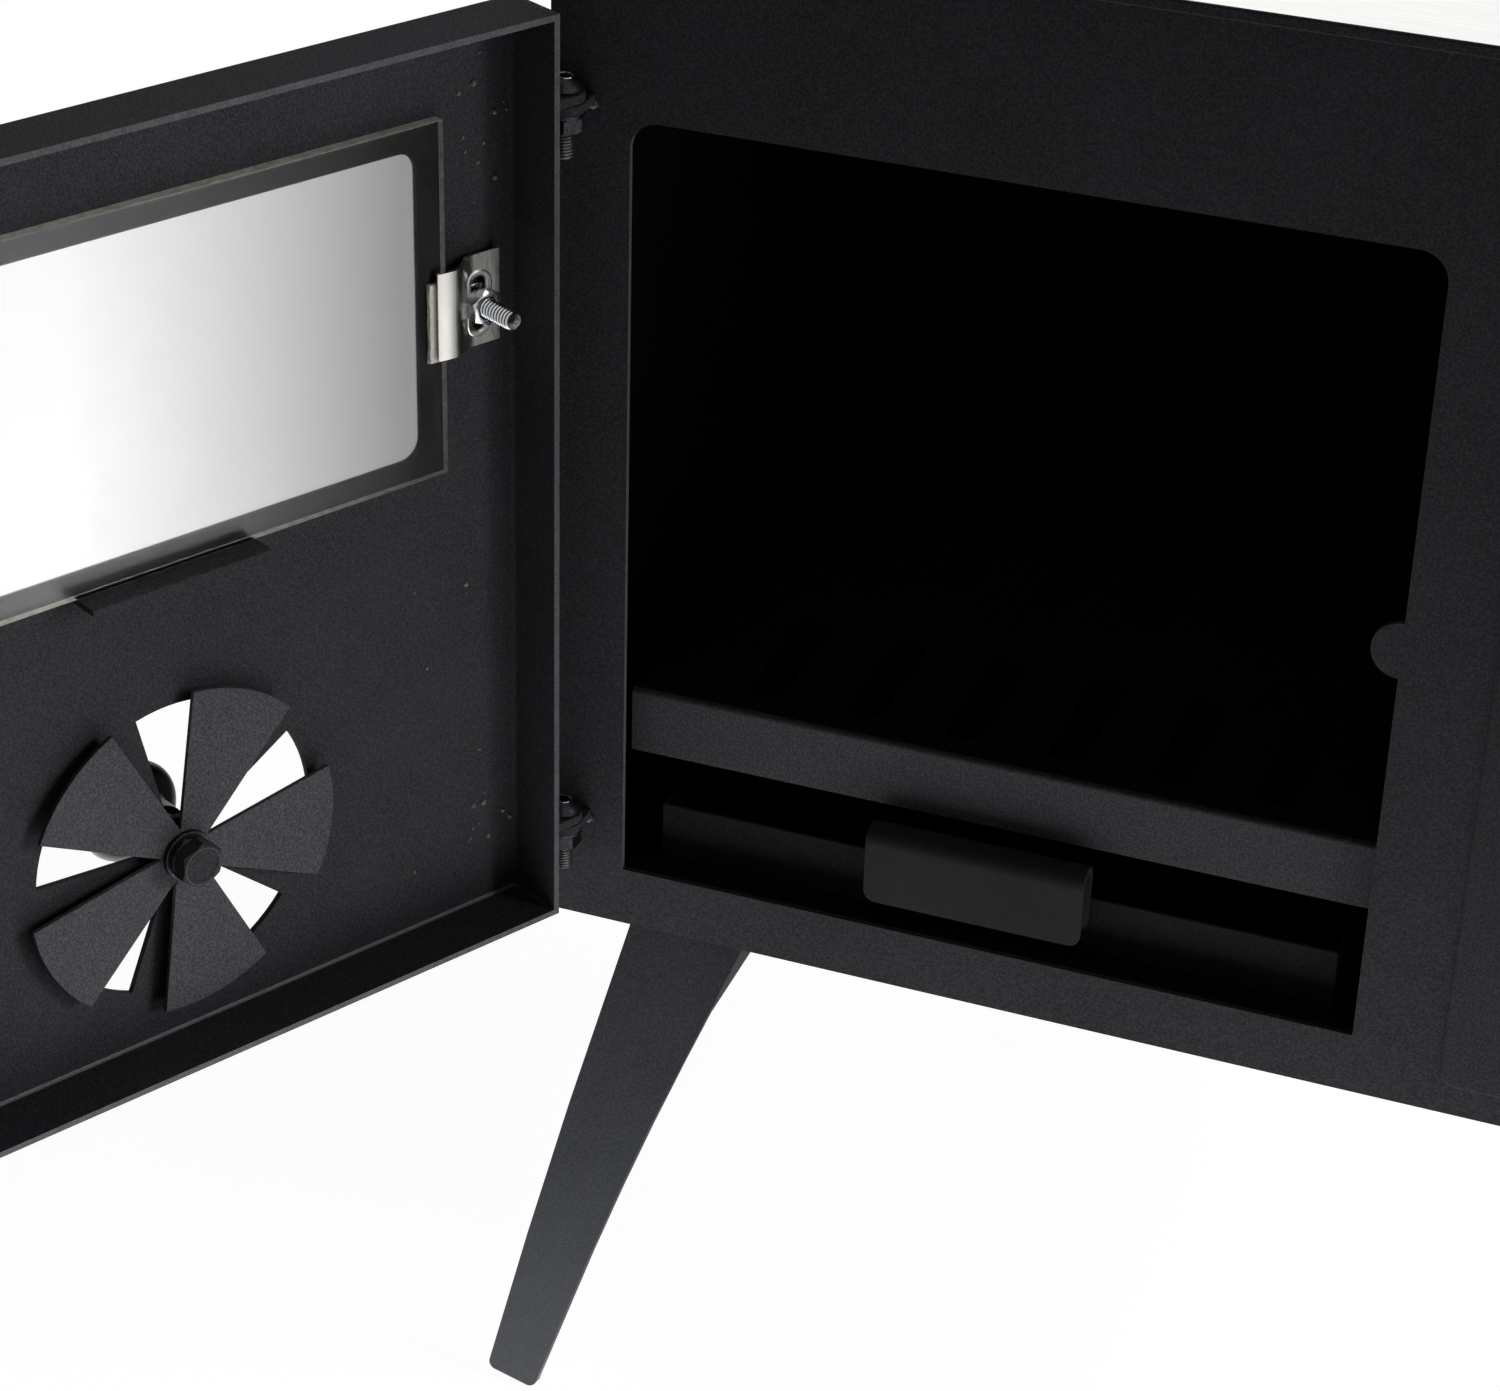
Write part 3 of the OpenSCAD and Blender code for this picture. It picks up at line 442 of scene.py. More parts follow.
@dataclass(frozen=True)
class WindowGlass:
    """Heat-resistant float glass, 4 mm, with painted shade that greys it towards the hinges.

    It gives the eye a clear pane with cool reflections, greyer to the hinge side.
    """

    name: str = "stove_glass"
    clear: str = "fefefe"
    painted_shade: str = "9a9a9b"
    # The painted shade starts and is full this far from the hinge
    start: float = 163 * MM
    end: float = 52 * MM
    # Width of a wiping cloth's smears
    smear: float = 18 * MM

    def make(self) -> bpy.types.Material:
        """Builds the material.

        Returns:
            The material.
        """
        material, tree, shader, coords = blank_material(self.name)
        along = add(tree, "ShaderNodeVectorMath", {0: coords, 1: ALONG_DOOR}, operation="DOT_PRODUCT")
        shift = HINGE_ORIGIN.dot(ALONG_DOOR)
        painted_gradient = add(tree, RANGE, {"Value": along.outputs["Value"], "From Min": self.start + shift,
                                 "From Max": self.end + shift})
        smear = add(tree, NOISE, {"Vector": coords, "Scale": 1 / self.smear, "Detail": 4.0, "Roughness": 0.6})
        # Painted shade: the pane greys towards the hinges
        tint = add(tree, MIX, {0: painted_gradient, 6: colour(self.clear), 7: colour(self.painted_shade)}, data_type="RGBA")
        # Smears blur the pane's reflections, and its IOR under the 1.47 of clean glass weakens them
        rough = add(tree, RAMP, {"Fac": smear}, [(0.35, grey(0.17)), (0.7, grey(0.22))])
        wire(tree, shader, {"Base Color": tint.outputs[2], "Roughness": rough, "IOR": 1.38,
                            "Transmission Weight": 1.0})
        return material


@dataclass(frozen=True)
class SawnGlassEdge:
    """The ground edge of the glass, dull and stained brown by smoke.

    It gives the eye the thin beige line that frames the pane.
    """

    name: str = "ground_glass_edge"
    light: str = "e6dfd2"
    stain: str = "b0a696"
    stain_width: float = 3 * MM

    def make(self) -> bpy.types.Material:
        """Builds the material.

        Returns:
            The material.
        """
        material, tree, shader, coords = blank_material(self.name)
        stains = add(tree, NOISE, {"Vector": coords, "Scale": 1 / self.stain_width, "Detail": 4.0,
                                   "Roughness": 0.65})
        base = add(tree, RAMP, {"Fac": stains}, [(0.35, colour(self.stain)), (0.65, colour(self.light))])
        relief = add(tree, BUMP, {"Height": stains, "Distance": 0.1 * MM, "Strength": 0.5})
        wire(tree, shader, {"Base Color": base, "Normal": relief, "Roughness": 0.55,
                            "Transmission Weight": 0.25})
        return material


@dataclass(frozen=True)
class CeramicFibre:
    """Ceramic fibre paper, torn to size.

    It gives the eye a soft warm white with matted fibres and no shine.
    """

    name: str = "ceramic_fibre"
    light: str = "f4f0e7"
    shade: str = "cfc8ba"
    # Fibres are a few hundredths of a millimetre thick. Their tufts are drawn this wide
    tuft: float = 0.5 * MM

    def make(self) -> bpy.types.Material:
        """Builds the material.

        Returns:
            The material.
        """
        material, tree, shader, coords = blank_material(self.name)
        matted = add(tree, MAPPING, {"Vector": coords, "Scale": (1, 1, 4), "Rotation": (0.3, 0.2, 0)},
                     vector_type="TEXTURE")
        fibres = add(tree, NOISE, {"Vector": matted, "Scale": 1 / self.tuft, "Detail": 5.0,
                                   "Roughness": 0.7})
        base = add(tree, RAMP, {"Fac": fibres}, [(0.35, colour(self.shade)), (0.6, colour(self.light))])
        relief = add(tree, BUMP, {"Height": fibres, "Distance": 0.3 * MM, "Strength": 0.8})
        wire(tree, shader, {"Base Color": base, "Normal": relief, "Roughness": 0.95})
        return material


@dataclass(frozen=True)
class BlackMoulding:
    """Phenolic moulding, pressed in a polished tool and a little worn.

    It gives the eye a deep black with a soft, even gloss and faint swirls.
    """

    name: str = "black_moulding"
    ground: str = "101012"
    swirl: str = "1c1c1f"
    swirl_width: float = 6 * MM
    grain: float = 0.8 * MM

    def make(self) -> bpy.types.Material:
        """Builds the material.

        Returns:
            The material.
        """
        material, tree, shader, coords = blank_material(self.name)
        swirls = add(tree, NOISE, {"Vector": coords, "Scale": 1 / self.swirl_width, "Detail": 5.0,
                                   "Roughness": 0.6})
        grain = add(tree, NOISE, {"Vector": coords, "Scale": 1 / self.grain, "Detail": 3.0,
                                  "Roughness": 0.55})
        base = add(tree, RAMP, {"Fac": swirls}, [(0.4, colour(self.ground)), (0.7, colour(self.swirl))])
        rough = add(tree, RAMP, {"Fac": swirls}, [(0.3, grey(0.3)), (0.8, grey(0.42))])
        relief = add(tree, BUMP, {"Height": grain, "Distance": 0.02 * MM, "Strength": 0.3})
        wire(tree, shader, {"Base Color": base, "Roughness": rough, "Normal": relief,
                            "Specular IOR Level": 0.3})
        return material


class Finishes:
    """Every finish of the stove, each made once."""

    def __init__(self) -> None:
        """Makes the materials."""
        self.paint = SprayedPaint().make()
        # Lighter paint on cut edges: paint worn thin there, and a painted highlight
        self.cut_edge = SprayedPaint("thin_paint_and_highlight_on_cut_edges", "4a4b4e", "5a5b5e", "8a8b8e", clouds=6 * MM,
                                     roughness=0.5, sheen_level=0.1).make()
        # Lighter paint on folds, rounded edges and a bolt's lip: a painted highlight
        self.painted_highlight = SprayedPaint("painted_highlight_on_folds", "5c5d60", "6c6d70", "a0a1a4", clouds=9 * MM,
                                   roughness=0.45, sheen_level=0.12).make()
        self.weld = SprayedPaint("painted_weld", "38393c", "58595c", "a4a4a4", clouds=3 * MM, roughness=0.4,
                                 sheen_level=0.25, speckle=0.6).make()
        self.soot = SprayedPaint("sooted_paint", "0b0b0b", "111111", "1a1a1b", roughness=0.9,
                                 sheen_level=0.02, speckle=0.2).make()
        # The drawer has a darker paint than the case
        self.drawer = SprayedPaint("darker_drawer_paint", "1e1e1f", "272729", "404042", roughness=0.7,
                                   sheen_level=0.02).make()
        self.grate = SprayedPaint("grate_paint", "3a3b3e", "404145", "707174", roughness=0.66,
                                  speckle=0.5).make()
        self.blade = SprayedPaint("blade_paint", "404144", "48494c", "84858a", speckle=0.45).make()
        # The legs grow paler towards the feet: painted light from the floor
        self.leg = SprayedPaint("leg_paint", "37383c", "414246", "707175", painted_floor_light=0.11).make()
        # The pull has a darker paint than the case
        self.pull = SprayedPaint("darker_pull_paint", "2b2b2d", "313133", "4a4a4d", speckle=0.2).make()
        self.black_steel = BlackedFastener().make()
        self.zinc = RolledSteel("zinc_plated_steel", "b9bbbe", "93969a", 0.9 * MM, 2, 0.16, 0.34).make()
        self.clip_steel = RolledSteel("bright_stainless", "b2b0ac", "aaa8a4", 0.8 * MM, 8, 0.27, 0.31,
                                      (0, math.radians(90), 0), 0.004).make()
        self.hob_steel = RolledSteel("satin_stainless", "fbfbf9", "f0f0ee", 0.8 * MM, 60, 0.22, 0.34).make()
        self.glass = WindowGlass().make()
        self.glass_edge = SawnGlassEdge().make()
        self.fibre = CeramicFibre().make()
        self.moulding = BlackMoulding().make()


# ---------- meshes ----------


def new_piece(name: str, mesh: bpy.types.Mesh, *materials: bpy.types.Material) -> bpy.types.Object:
    """Puts a mesh in the scene as an object at the origin.

    Args:
        name: the piece's name.
        mesh: its mesh, already in place.
        materials: its materials in slot order.

    Returns:
        The object.
    """
    mesh.name = name
    if materials:
        mesh.materials.clear()
    for material in materials:
        mesh.materials.append(material)
    piece = bpy.data.objects.new(name, mesh)
    bpy.context.scene.collection.objects.link(piece)
    return piece


def hand_over(piece: bpy.types.Object, body: Body, slot: str, *nodes: str) -> None:
    """Makes a finished piece ride on its body, in the place of its CAD nodes.

    Args:
        piece: the finished piece.
        body: body that it moves with.
        slot: the record's material slot; not used.
        nodes: CAD nodes that it stands for.
    """
    if nodes:
        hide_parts(*nodes)
    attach(piece, body.value)
    LOG.info("%s rides on %s, %d faces", piece.name, body.value, len(piece.data.polygons))


def smooth(mesh: bpy.types.Mesh) -> None:
    """Shades a mesh smooth between edges that are sharp."""
    mesh.shade_smooth()
    mesh.set_sharp_from_angle(angle=SHARP)


def soften(piece: bpy.types.Object, width: float, rings: int = 2) -> None:
    """Rounds every sharp edge a little, as paint and handling do.

    Args:
        piece: the piece.
        width: width of the rounding in metres.
        rings: faces across the rounding.
    """
    edge = piece.modifiers.new("rounded_edges", "BEVEL")
    edge.width = width
    edge.segments = rings
    edge.limit_method = "ANGLE"
    edge.angle_limit = SHARP
    even = piece.modifiers.new("even_shading", "WEIGHTED_NORMAL")
    even.keep_sharp = True


FaceTest = Callable[[Vector, Vector], int]
EdgeTest = Callable[[Vector, Vector], bool]


def sheet_piece(node: str, name: str, materials: Sequence[bpy.types.Material], edge: float = 0.35 * MM,
                fold: tuple[EdgeTest, float, int] | None = None,
                other: FaceTest | None = None) -> bpy.types.Object:
    """A CAD node with its folds bent to a radius and its cut edges softened.

    Args:
        node: the CAD node.
        name: name of the piece.
        materials: its finishes: the main one, and those for the faces that other picks.
        edge: rounding of the cut edges in metres.
        fold: picks the folded edges by their two ends, their radius in metres and number of their finish.
        other: number of a face's finish by its middle and normal.

    Returns:
        The piece, not yet handed over.
    """
    solid = merged_copy(node)
    bmesh.ops.dissolve_limit(solid, angle_limit=FLAT, verts=solid.verts, edges=solid.edges)
    if fold:
        # The folds' finish, which carries the painted highlight on the folds that have one
        picks, radius, painted_highlight = fold
        folded = [e for e in solid.edges if len(e.link_faces) == 2 and e.calc_face_angle() > SHARP
                  and picks(e.verts[0].co, e.verts[1].co)]
        bmesh.ops.bevel(solid, geom=folded, offset=radius, offset_type="OFFSET", segments=FOLD_FACES,
                        profile=0.5, affect="EDGES", clamp_overlap=True, material=painted_highlight)
    mesh = bpy.data.meshes.new(name)
    solid.to_mesh(mesh)
    solid.free()
    smooth(mesh)
    piece = new_piece(name, mesh, *materials)
    if other:
        for face in mesh.polygons:
            face.material_index = face.material_index or int(other(face.center, face.normal))
    soften(piece, edge)
    return piece


Ring = Callable[[float], tuple[float, float]]


def ring(radius: float, height: float) -> Ring:
    """A round ring of a turned piece."""
    return lambda angle: (radius, height)


def hexagon(across: float, angle: float) -> float:
    """Distance from a hexagon's middle to its side.

    Args:
        across: width across the flats.
        angle: direction in radians, 0 at a corner.

    Returns:
        The distance.
    """
    return across / 2 / math.cos((angle % math.radians(60)) - math.radians(30))


def turned(rings: Sequence[Ring], steps: int = 72, closed: bool = False) -> bpy.types.Mesh:
    """A closed mesh of rings about Z, each given by its radius and height at an angle.

    Args:
        rings: the rings in order, so that faces point outwards: up the outside, and down a bore.
        steps: points round a ring.
        closed: whether the last ring joins the first, as on a nut. If not, both ends get a cap.

    Returns:
        The mesh.
    """
    solid = bmesh.new()
    loops = []
    for one in rings:
        loop = []
        for i in range(steps):
            angle = 2 * math.pi * i / steps
            radius, height = one(angle)
            loop.append(solid.verts.new((radius * math.cos(angle), radius * math.sin(angle), height)))
        loops.append(loop)
    pairs = list(zip(loops, loops[1:]))
    if closed:
        pairs.append((loops[-1], loops[0]))
    for low, high in pairs:
        for i in range(steps):
            j = (i + 1) % steps
            solid.faces.new((low[i], low[j], high[j], high[i]))
    if not closed:
        solid.faces.new(list(reversed(loops[0])))
        solid.faces.new(loops[-1])
    bmesh.ops.recalc_face_normals(solid, faces=solid.faces)
    mesh = bpy.data.meshes.new("turned")
    solid.to_mesh(mesh)
    solid.free()
    smooth(mesh)
    return mesh


def hex_nut_mesh(across: float, height: float, bore: float, sink: float = 0.5 * MM) -> bpy.types.Mesh:
    """A hexagon nut with both faces chamfered and its bore countersunk.

    Args:
        across: width across the flats.
        height: height of the nut, which stands on Z = 0.
        bore: radius of the thread's bore.
        sink: depth and width of the countersinks.

    Returns:
        The mesh.
    """
    face_r = NUT_FACE * across

    def corner(angle: float) -> float:
        """Distance from the axis to the nut's side."""
        return hexagon(across, angle)

    def drop(angle: float) -> float:
        """How far down the chamfer has cut the side."""
        return max(0.02 * MM, (corner(angle) - face_r) * CHAMFER)

    return turned([ring(face_r, 0.0), lambda a: (corner(a), drop(a)),
                   lambda a: (corner(a), height - drop(a)), ring(face_r, height), ring(bore + sink, height),
                   ring(bore, height - sink), ring(bore, sink), ring(bore + sink, 0.0)], closed=True)


def hex_head_mesh(across: float, height: float) -> bpy.types.Mesh:
    """A bolt's hexagon head, chamfered and a little hollow on top, standing on Z = 0.

    Args:
        across: width across the flats.
        height: height of the head.

    Returns:
        The mesh.
    """
    face_r = HEAD_FACE * across
    hollow = height - 0.12 * MM
    return turned([ring(face_r, 0.0), lambda a: (hexagon(across, a), 0.05 * MM),
                   lambda a: (hexagon(across, a), height - (hexagon(across, a) - face_r) * CHAMFER),
                   ring(face_r, height), ring(0.8 * face_r, height), ring(0.78 * face_r, hollow),
                   ring(PIP, hollow)])


def dome(radius: float, height: float) -> Callable[[float], float]:
    """The top of a domed head.

    Args:
        radius: radius of the head.
        height: height of the dome.

    Returns:
        What gives the top's height at a distance from the axis.
    """
    ball = (radius * radius + height * height) / (2 * height)
    return lambda r: math.sqrt(ball * ball - r * r) - ball + height


def button_head_mesh(width: float, height: float, key: float) -> bpy.types.Mesh:
    """A domed head with a hexagon socket, standing on Z = 0.

    Args:
        width: diameter of the head.
        height: height of the dome.
        key: width of the socket across its flats.

    Returns:
        The mesh.
    """
    radius = width / 2
    up = dome(radius, height)
    skirt = [ring(0.93 * radius, 0.0), ring(radius, 0.12 * height)]
    arc = [ring(r * radius, max(up(r * radius), 0.14 * height)) for r in (0.985, 0.95, 0.9, 0.8, 0.7)]
    lip = hexagon(key, 0.0) + 0.25 * MM
    floor = 0.4 * height
    return turned(skirt + arc + [ring(lip, up(lip)), lambda a: (hexagon(key, a), up(lip) - 0.2 * MM),
                                 lambda a: (hexagon(key, a), floor), ring(PIP, floor - 0.4 * MM)])


def dome_head_mesh(width: float, height: float) -> bpy.types.Mesh:
    """A plain domed head, standing on Z = 0.

    Args:
        width: diameter of the head.
        height: height of the dome.

    Returns:
        The mesh.
    """
    radius = width / 2
    up = dome(radius, height)
    skirt = [ring(0.95 * radius, 0.0), ring(radius, 0.1 * height)]
    shares = (0.98, 0.92, 0.82, 0.68, 0.5, 0.3, 0.12, 0.02)
    return turned(skirt + [ring(r * radius, max(up(r * radius), 0.12 * height)) for r in shares])


# ---------- geometry nodes ----------


@dataclass(frozen=True)
class Recipe:
    """A Geometry Nodes tree in the making: its named inputs and its ends."""

    tree: bpy.types.NodeTree
    given: bpy.types.Node

    @classmethod
    def start(cls, name: str, inputs: dict[str, str]) -> "Recipe":
        """Makes an empty tree.

        Args:
            name: the tree's name.
            inputs: socket type of each named input.

        Returns:
            The recipe.
        """
        tree = bpy.data.node_groups.new(name, "GeometryNodeTree")
        tree.interface.new_socket("Geometry", in_out="INPUT", socket_type="NodeSocketGeometry")
        tree.interface.new_socket("Geometry", in_out="OUTPUT", socket_type="NodeSocketGeometry")
        for label, kind in {**inputs, "Finish": "Material"}.items():
            tree.interface.new_socket(label, in_out="INPUT", socket_type="NodeSocket" + kind)
        return cls(tree, tree.nodes.new("NodeGroupInput"))

    def use(self, label: str) -> bpy.types.NodeSocket:
        """One of the tree's inputs."""
        return self.given.outputs[label]

    def end(self, geometry: bpy.types.Node) -> bpy.types.NodeTree:
        """Makes instances real, sets the finish and closes the tree.

        Args:
            geometry: the node that makes the geometry.

        Returns:
            The finished tree.
        """
        real = add(self.tree, "GeometryNodeRealizeInstances", {"Geometry": geometry})
        dressed = add(self.tree, "GeometryNodeSetMaterial",
                      {"Geometry": real, "Material": self.use("Finish")})
        add(self.tree, "NodeGroupOutput", {"Geometry": dressed})
        return self.tree


def bolt_tree() -> bpy.types.NodeTree:
    """Threaded rods, one at each point, each under its own head, pointing down from the point.

    Returns:
        The tree.
    """
    recipe = Recipe.start("bolts_at_points", {"Head": "Object", "Radius": "Float", "Length": "Float",
                                              "Pitch": "Float", "Depth": "Float", "Rows": "Int",
                                              "Seed": "Int"})
    tree, radius, length, deep = recipe.tree, recipe.use("Radius"), recipe.use("Length"), recipe.use("Depth")
    rod = add(tree, "GeometryNodeMeshCylinder", {"Vertices": 28, "Side Segments": recipe.use("Rows"),
                                                 "Fill Segments": 2, "Radius": radius, "Depth": length})
    place = add(tree, "GeometryNodeInputPosition")
    parts = add(tree, "ShaderNodeSeparateXYZ", {0: place})
    # The groove's depth at each point: a ridge that climbs by one pitch a turn, and a pointed end
    angle = add(tree, MATH, {0: parts.outputs["Y"], 1: parts.outputs["X"]}, operation="ARCTAN2")
    turn = add(tree, MATH, {0: angle, 1: 2 * math.pi}, operation="DIVIDE")
    steps = add(tree, MATH, {0: parts.outputs["Z"], 1: recipe.use("Pitch")}, operation="DIVIDE")
    rise = add(tree, MATH, {0: steps, 1: turn}, operation="SUBTRACT")
    share = add(tree, MATH, {0: rise}, operation="FRACT")
    centred = add(tree, MATH, {0: share, 1: 0.5}, operation="SUBTRACT")
    folded = add(tree, MATH, {0: centred}, operation="ABSOLUTE")
    groove = add(tree, MATH, {0: folded, 1: 2.0}, operation="MULTIPLY")
    half = add(tree, MATH, {0: length, 1: 0.5}, operation="MULTIPLY")
    off_middle = add(tree, MATH, {0: parts.outputs["Z"]}, operation="ABSOLUTE")
    to_end = add(tree, MATH, {0: half, 1: off_middle}, operation="SUBTRACT")
    point = add(tree, MATH, {0: deep, 1: to_end}, operation="SUBTRACT")
    cut = add(tree, MATH, {0: groove, 1: deep}, operation="MULTIPLY")
    deepest = add(tree, MATH, {0: cut, 1: point}, operation="MAXIMUM")
    lost = add(tree, MATH, {0: deepest, 1: radius}, operation="DIVIDE")
    kept = add(tree, MATH, {0: 1.0, 1: lost}, operation="SUBTRACT")
    narrow = add(tree, "ShaderNodeCombineXYZ", {0: kept, 1: kept, 2: 1.0})
    moved = add(tree, "ShaderNodeVectorMath", {0: place, 1: narrow}, operation="MULTIPLY")
    # The share of painted shade, full in the groove. Even the crest gets some, which tells the thread from
    # the head
    painted_shade_share = add(tree, MATH, {0: groove, 1: 0.8, 2: 0.2}, operation="MULTIPLY_ADD")
    marked = add(tree, "GeometryNodeStoreNamedAttribute", {"Geometry": rod, "Name": GROOVE, "Value": painted_shade_share},
                 data_type="FLOAT", domain="POINT")
    threaded = add(tree, "GeometryNodeSetPosition", {"Geometry": marked, "Position": moved})
    under = add(tree, MATH, {0: length, 1: -0.5}, operation="MULTIPLY")
    down = add(tree, "ShaderNodeCombineXYZ", {2: under})
    hung = add(tree, "GeometryNodeTransform", {"Geometry": threaded, "Translation": down})
    head = add(tree, "GeometryNodeObjectInfo", {"Object": recipe.use("Head")})
    whole = add(tree, "GeometryNodeJoinGeometry", {0: [head.outputs["Geometry"], hung]})
    return recipe.end(spun_at_points(recipe, whole))


def spun_at_points(recipe: Recipe, fastener: bpy.types.Node | bpy.types.NodeSocket) -> bpy.types.Node:
    """Puts a fastener at every point, each turned about its axis as a spanner happened to leave it.

    Args:
        recipe: recipe with a Seed input.
        fastener: what gives the fastener's geometry.

    Returns:
        The node that makes the instances.
    """
    spin = add(recipe.tree, "FunctionNodeRandomValue", {2: 0.0, 3: 2 * math.pi, "Seed": recipe.use("Seed")},
               data_type="FLOAT")
    turn = add(recipe.tree, "FunctionNodeAxisAngleToRotation", {"Axis": (0, 0, 1), "Angle": spin.outputs[1]})
    return add(recipe.tree, "GeometryNodeInstanceOnPoints",
               {"Points": recipe.use("Geometry"), "Instance": fastener, "Rotation": turn})


def fastener_tree() -> bpy.types.NodeTree:
    """Nuts and the like, one at each point.

    Returns:
        The tree.
    """
    recipe = Recipe.start("fasteners_at_points", {"Fastener": "Object", "Seed": "Int"})
    one = add(recipe.tree, "GeometryNodeObjectInfo", {"Object": recipe.use("Fastener")})
    return recipe.end(spun_at_points(recipe, one.outputs["Geometry"]))


def weld_tree() -> bpy.types.NodeTree:
    """Weld beads along paths, with the ripples that the torch's steps leave.

    Returns:
        The tree.
    """
    recipe = Recipe.start("weld_along_path", {"Width": "Float", "Ripple": "Float", "Unevenness": "Float",
                                              "Seed": "Float"})
    tree, ripple = recipe.tree, recipe.use("Ripple")
    rings_each, swelling = 6.0, 0.12
    path = add(tree, "GeometryNodeMeshToCurve", {"Mesh": recipe.use("Geometry")})
    step = add(tree, MATH, {0: ripple, 1: rings_each}, operation="DIVIDE")
    even = add(tree, "GeometryNodeResampleCurve", {"Curve": path, "Length": step}, mode="LENGTH")
    reached = add(tree, "GeometryNodeSplineParameter").outputs["Length"]
    ripples = add(tree, MATH, {0: reached, 1: ripple}, operation="DIVIDE")
    phase = add(tree, MATH, {0: ripples, 1: 2 * math.pi}, operation="MULTIPLY")
    wave = add(tree, MATH, {0: phase}, operation="SINE")
    swell = add(tree, MATH, {0: wave, 1: swelling, 2: 1.0}, operation="MULTIPLY_ADD")
    half = add(tree, MATH, {0: recipe.use("Width"), 1: 0.5}, operation="MULTIPLY")
    radius = add(tree, MATH, {0: swell, 1: half}, operation="MULTIPLY")
    profile = add(tree, "GeometryNodeCurvePrimitiveCircle", {"Resolution": 12, "Radius": 1.0})
    bead = add(tree, "GeometryNodeCurveToMesh", {"Curve": even, "Profile Curve": profile, "Scale": radius,
                                                 "Fill Caps": True})
    place = add(tree, "GeometryNodeInputPosition")
    lumps = add(tree, NOISE, {"Vector": place, "W": recipe.use("Seed"), "Scale": 900.0, "Detail": 2.0},
                noise_dimensions="4D")
    centred = add(tree, "ShaderNodeVectorMath", {0: lumps.outputs["Color"], 1: (0.5, 0.5, 0.5)},
                  operation="SUBTRACT")
    pushed = add(tree, "ShaderNodeVectorMath", {0: centred, "Scale": recipe.use("Unevenness")},
                 operation="SCALE")
    moved = add(tree, "GeometryNodeSetPosition", {"Geometry": bead, "Offset": pushed})
    return recipe.end(add(tree, "GeometryNodeSetShadeSmooth", {"Geometry": moved}))


def spatter_tree() -> bpy.types.NodeTree:
    """Droplets of weld spatter under the paint, one at each point.

    Returns:
        The tree.
    """
    recipe = Recipe.start("spatter_at_points", {"Smallest": "Float", "Largest": "Float", "Seed": "Int"})
    tree = recipe.tree
    drop = add(tree, "GeometryNodeMeshIcoSphere", {"Radius": 1.0, "Subdivisions": 3})
    size = add(tree, "FunctionNodeRandomValue", {2: recipe.use("Smallest"), 3: recipe.use("Largest"),
                                                 "Seed": recipe.use("Seed")}, data_type="FLOAT")
    many = add(tree, "GeometryNodeInstanceOnPoints", {"Points": recipe.use("Geometry"), "Instance": drop,
                                                      "Scale": size.outputs[1]})
    return recipe.end(add(tree, "GeometryNodeSetShadeSmooth", {"Geometry": many}))


def blade_tree() -> bpy.types.NodeTree:
    """The vent's blades: one blade repeated about Z.

    Returns:
        The tree.
    """
    recipe = Recipe.start("blades_about_hub", {"Count": "Int", "First": "Float"})
    tree = recipe.tree
    places = add(tree, "GeometryNodeMeshLine", {"Count": recipe.use("Count"), "Offset": (0, 0, 0)})
    index = add(tree, "GeometryNodeInputIndex")
    step = add(tree, MATH, {0: 2 * math.pi, 1: recipe.use("Count")}, operation="DIVIDE")
    angle = add(tree, MATH, {0: index, 1: step, 2: recipe.use("First")}, operation="MULTIPLY_ADD")
    turn = add(tree, "FunctionNodeAxisAngleToRotation", {"Axis": (0, 0, 1), "Angle": angle})
    return recipe.end(add(tree, "GeometryNodeInstanceOnPoints",
                          {"Points": places, "Instance": recipe.use("Geometry"), "Rotation": turn}))


def points_mesh(points: Sequence[Vector], joined: bool = False) -> bpy.types.Mesh:
    """A mesh of bare points, or of a path through them.

    Args:
        points: the points.
        joined: whether edges join them in order.

    Returns:
        The mesh.
    """
    mesh = bpy.data.meshes.new("points")
    edges = [(i, i + 1) for i in range(len(points) - 1)] if joined else []
    mesh.from_pydata([tuple(p) for p in points], edges, [])
    return mesh


def grown(name: str, host: bpy.types.Mesh, tree: bpy.types.NodeTree, axes: Axes, finish: bpy.types.Material,
          **values: object) -> bpy.types.Object:
    """Runs a Geometry Nodes tree on a mesh and keeps the result as a plain mesh.

    Args:
        name: name of the piece.
        host: mesh that the tree starts from, in the axes' own coordinates.
        tree: the tree.
        axes: frame that the result is placed by.
        finish: the material.
        values: value of each of the tree's inputs, by name.

    Returns:
        The piece, with no modifier left on it.
    """
    start = bpy.data.objects.new(name + "_start", host)
    bpy.context.scene.collection.objects.link(start)
    modifier = start.modifiers.new("grow", "NODES")
    modifier.node_group = tree
    wanted = {**values, "Finish": finish}
    for item in tree.interface.items_tree:
        if item.in_out == "INPUT" and item.name in wanted:
            modifier[item.identifier] = wanted[item.name]
    start.update_tag()
    graph = bpy.context.evaluated_depsgraph_get()
    mesh = bpy.data.meshes.new_from_object(start.evaluated_get(graph), depsgraph=graph)
    bpy.data.objects.remove(start)
    mesh.transform(axes.matrix)
    return new_piece(name, mesh, finish)


def pattern_part(mesh: bpy.types.Mesh) -> bpy.types.Object:
    """A fastener that the trees repeat. It isn't shown itself."""
    return bpy.data.objects.new("pattern", mesh)


# ---------- sub-assemblies ----------


@dataclass(frozen=True)
class Thread:
    """A thread as it is drawn: its pitch, its depth and the rows of faces along it."""

    pitch: float
    depth: float
    rows: int


